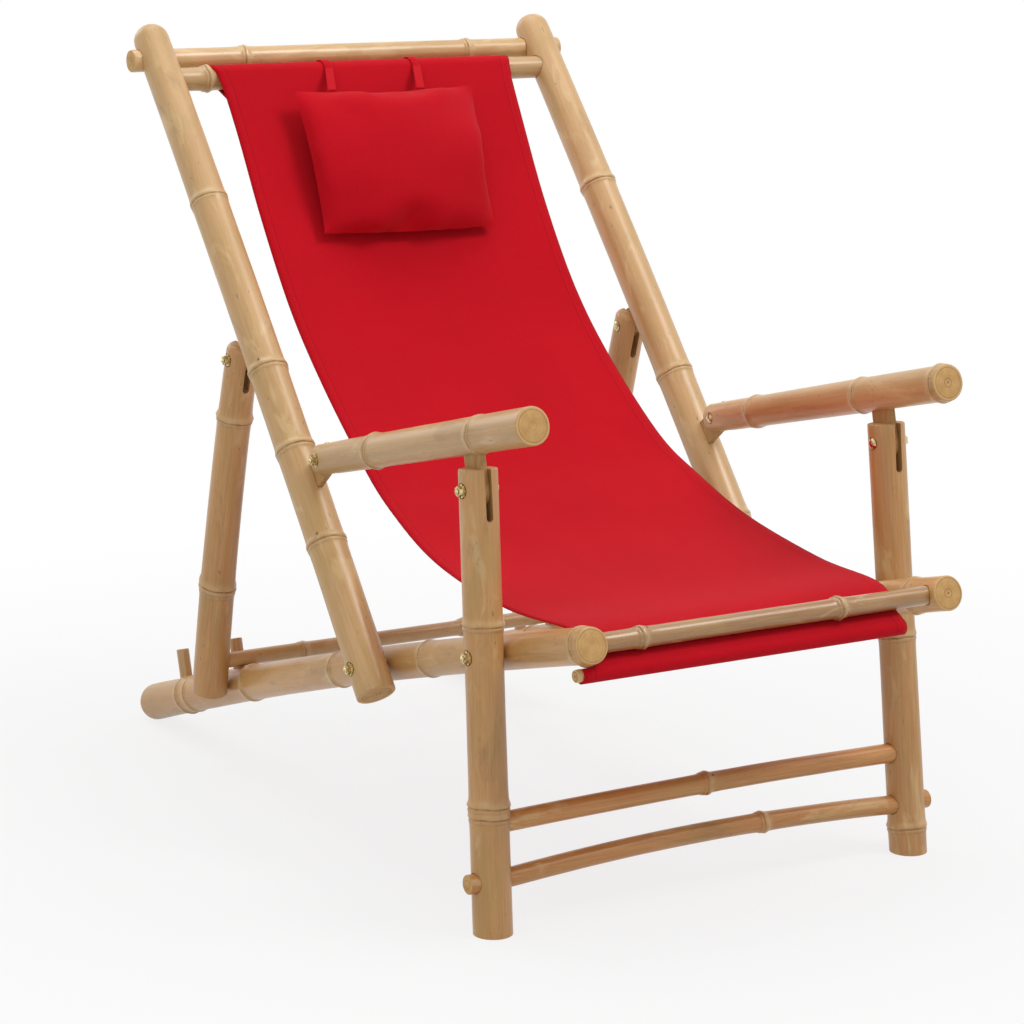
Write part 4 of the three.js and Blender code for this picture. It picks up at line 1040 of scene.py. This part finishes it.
def pillow_sheets():
    """Two sheets sewn together, and the vertex of each column, row and face, which is 0 on the seam."""
    points, faces, index = [], [], {}

    def vertex(column, row, face):
        on_seam = column in (0, COLUMNS) or row in (0, ROWS)
        key = (column, row, 0 if on_seam else face)
        if key not in index:
            u, v = pillow_share(column, row)
            depth = 0
            if not on_seam:
                depth = face * 6 * ((1 - u * u) * (1 - v * v)) ** 0.5
                depth += 1.5 * wave(u * 2.2, v * 2.2, 5.5 + face)
            index[key] = len(points)
            points.append(Vector((u * PILLOW_WIDTH / 2 * 1.1, -depth, v * PILLOW_HEIGHT / 2 * 1.1)) * MM)
        return index[key]

    for face in (1, -1):
        for column in range(COLUMNS):
            for row in range(ROWS):
                corners = [vertex(column, row, face), vertex(column + 1, row, face),
                           vertex(column + 1, row + 1, face), vertex(column, row + 1, face)]
                faces.append(corners if face > 0 else list(reversed(corners)))
    return new_mesh("pillow", points, faces), index


def blow_up(flat):
    """The sheets after cloth under pressure, without gravity."""
    made = link("pillow_cloth", flat, Matrix.Translation((0, 0, 1000)))
    puff = made.modifiers.new("puff", "CLOTH").settings
    puff.quality = 6
    puff.mass = 0.25
    puff.tension_stiffness = puff.compression_stiffness = 18
    puff.bending_stiffness = 0.4
    puff.use_pressure = True
    puff.uniform_pressure_force = 4
    puff.effector_weights.gravity = 0
    for step in range(1, PUFF_FRAMES + 1):
        scene.frame_set(step)
    graph = bpy.context.evaluated_depsgraph_get()
    mesh = bpy.data.meshes.new_from_object(made.evaluated_get(graph))
    bpy.data.objects.remove(made)
    scene.frame_set(1)
    return mesh


def border(column, row):
    """Where a place on the seam belongs: nearly straight between the corners, with a little pucker."""
    u, v = pillow_share(column, row)
    straight = sum((Vector(corner) * (1 + way * u) * (1 + up * v) / 4
                    for (way, up), corner in CORNERS.items()), Vector((0, 0)))
    fall = -6 if row == ROWS else -2.5 if row == 0 else 0
    bend = Vector((-4 * u * (1 - v * v) * (abs(u) == 1), fall * (1 - u * u)))
    if row == ROWS:
        bend.y += 1.6 * (hump(u, -0.5, 0.12) + hump(u, 0.45, 0.12))
    pucker = Vector((wave(v * 6, u, 1), wave(u * 6, v, 7)))
    return straight + bend + 0.5 * pucker


def pillow_mesh():
    """The blown sheets, set to the pillow's corners and depth and smoothed inside the seam."""
    flat, index = pillow_sheets()
    mesh = blow_up(flat)
    depths = [vertex.co.y for vertex in mesh.vertices]
    size = max(depths) - min(depths)
    start = {key: mesh.vertices[number].co.copy() / MM for key, number in index.items()}
    for (column, row, face), number in index.items():
        u, v = column / COLUMNS, row / ROWS
        moved = Vector((0, 0))
        for share, edge in ((1 - u, (0, row)), (u, (COLUMNS, row))):
            moved.x += share * (border(*edge).x - start[edge + (0,)].x)
        for share, edge in ((1 - v, (column, 0)), (v, (column, ROWS))):
            moved.y += share * (border(*edge).y - start[edge + (0,)].z)
        was = start[column, row, face]
        depth = -2 * was.y * MM / (size + 1e-9) * (0.2 if face == 0 else 1)
        depth *= PILLOW_FRONT if depth > 0 else PILLOW_REAR
        mesh.vertices[number].co = Vector((was.x + moved.x, -depth, was.z + moved.y)) * MM
    seam = {number for key, number in index.items() if key[2] == 0}
    beside = {number: [] for number in index.values()}
    for edge in mesh.edges:
        a, b = edge.vertices
        beside[a].append(b)
        beside[b].append(a)
        edge.use_edge_sharp = a in seam and b in seam
    for turn in range(14):
        middle = {number: sum((mesh.vertices[other].co for other in near), Vector()) / len(near)
                  for number, near in beside.items() if number not in seam}
        for number, target in middle.items():
            mesh.vertices[number].co = mesh.vertices[number].co.lerp(target, 0.5)
    smooth(mesh, STUFFED)
    return mesh


pillow = link("head_pillow_canvas", pillow_mesh(),
              spot(IN_PLACE, 0, pillow_middle.x, pillow_middle.y) @ Matrix.Rotation(-PILLOW_LEAN, 4, "X"))
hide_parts("head_pillow")
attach(pillow, "back_frame")

# Straps
STRAP_HALF, STRAP_TAIL, STRAP_LEAN = 5.5, 60, 19
STRAP_RISE, STRAP_FALL = 16, 20  # steps up to the rod and down behind it


def strap(name, node, x, steps=8):
    u = x / (PILLOW_WIDTH / 2)
    seam = PILLOW_HEIGHT / 2 * (1 - 0.08 * (1 - u * u)) + 2 * FIT
    over = arc(sling_rod, sleeve_radius + CLOTH / 2 + 2 * FIT + NODE_RISE, deg(150), TAIL_SLOPE - QUARTER, 48)
    begin = pillow_middle + pillow_up * seam
    tail = over[-1] + down * STRAP_TAIL
    path = [begin.lerp(over[0], i / STRAP_RISE) for i in range(STRAP_RISE)] + over
    path += [over[-1].lerp(tail, i / STRAP_FALL) for i in range(1, STRAP_FALL + 1)]
    runs = runs_along(path)
    points, uvs = [], []
    for at, (point, run) in enumerate(zip(path, runs)):
        normal = normal_at(path, at)
        askew = STRAP_LEAN * min(at / STRAP_RISE, 1)
        for step in range(steps + 1):
            v = 2 * step / steps - 1
            lift = 0.5 * (1 - v * v) - 0.25
            points.append(Vector((x + askew + v * STRAP_HALF, *(point + normal * lift))) * MM)
            uvs.append((v * STRAP_HALF * MM, run * MM))
    made = cloth(name, points, uvs, steps + 1, TAPE)
    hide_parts(node)
    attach(made, "back_frame")


strap("strap_right_canvas", "pillow_strap_right", -76)
strap("strap_left_canvas", "pillow_strap_left", 47)


# Floor
def floor(reach=30):
    """A pale floor that the camera sees as white, but for the shadow close to the chair."""
    mesh = new_mesh("floor", [(-reach, -reach, 0), (reach, -reach, 0), (reach, reach, 0), (-reach, reach, 0)],
                    [(0, 1, 2, 3)])
    ground = link("floor", mesh)
    m = Nodes("floor", Roughness=0.75, Base_Color=(0.68, 0.68, 0.68, 1))
    glow = m.node("Emission")
    apart = m.node("SeparateXYZ", Vector=m.coords())
    share = m.times(m.seen(), m.range(m.from_axis(apart), 0.5, 1.5, 0.8, 1.0))
    both = m.node("MixShader")
    m.put(share, both.inputs[0])
    m.tree.links.new(m.shader.outputs[0], both.inputs[1])
    m.tree.links.new(glow.outputs[0], both.inputs[2])
    m.tree.links.new(both.outputs[0], m.tree.nodes["Material Output"].inputs["Surface"])
    mesh.materials.append(m.material)


floor()

scene.view_settings.view_transform = "Standard"
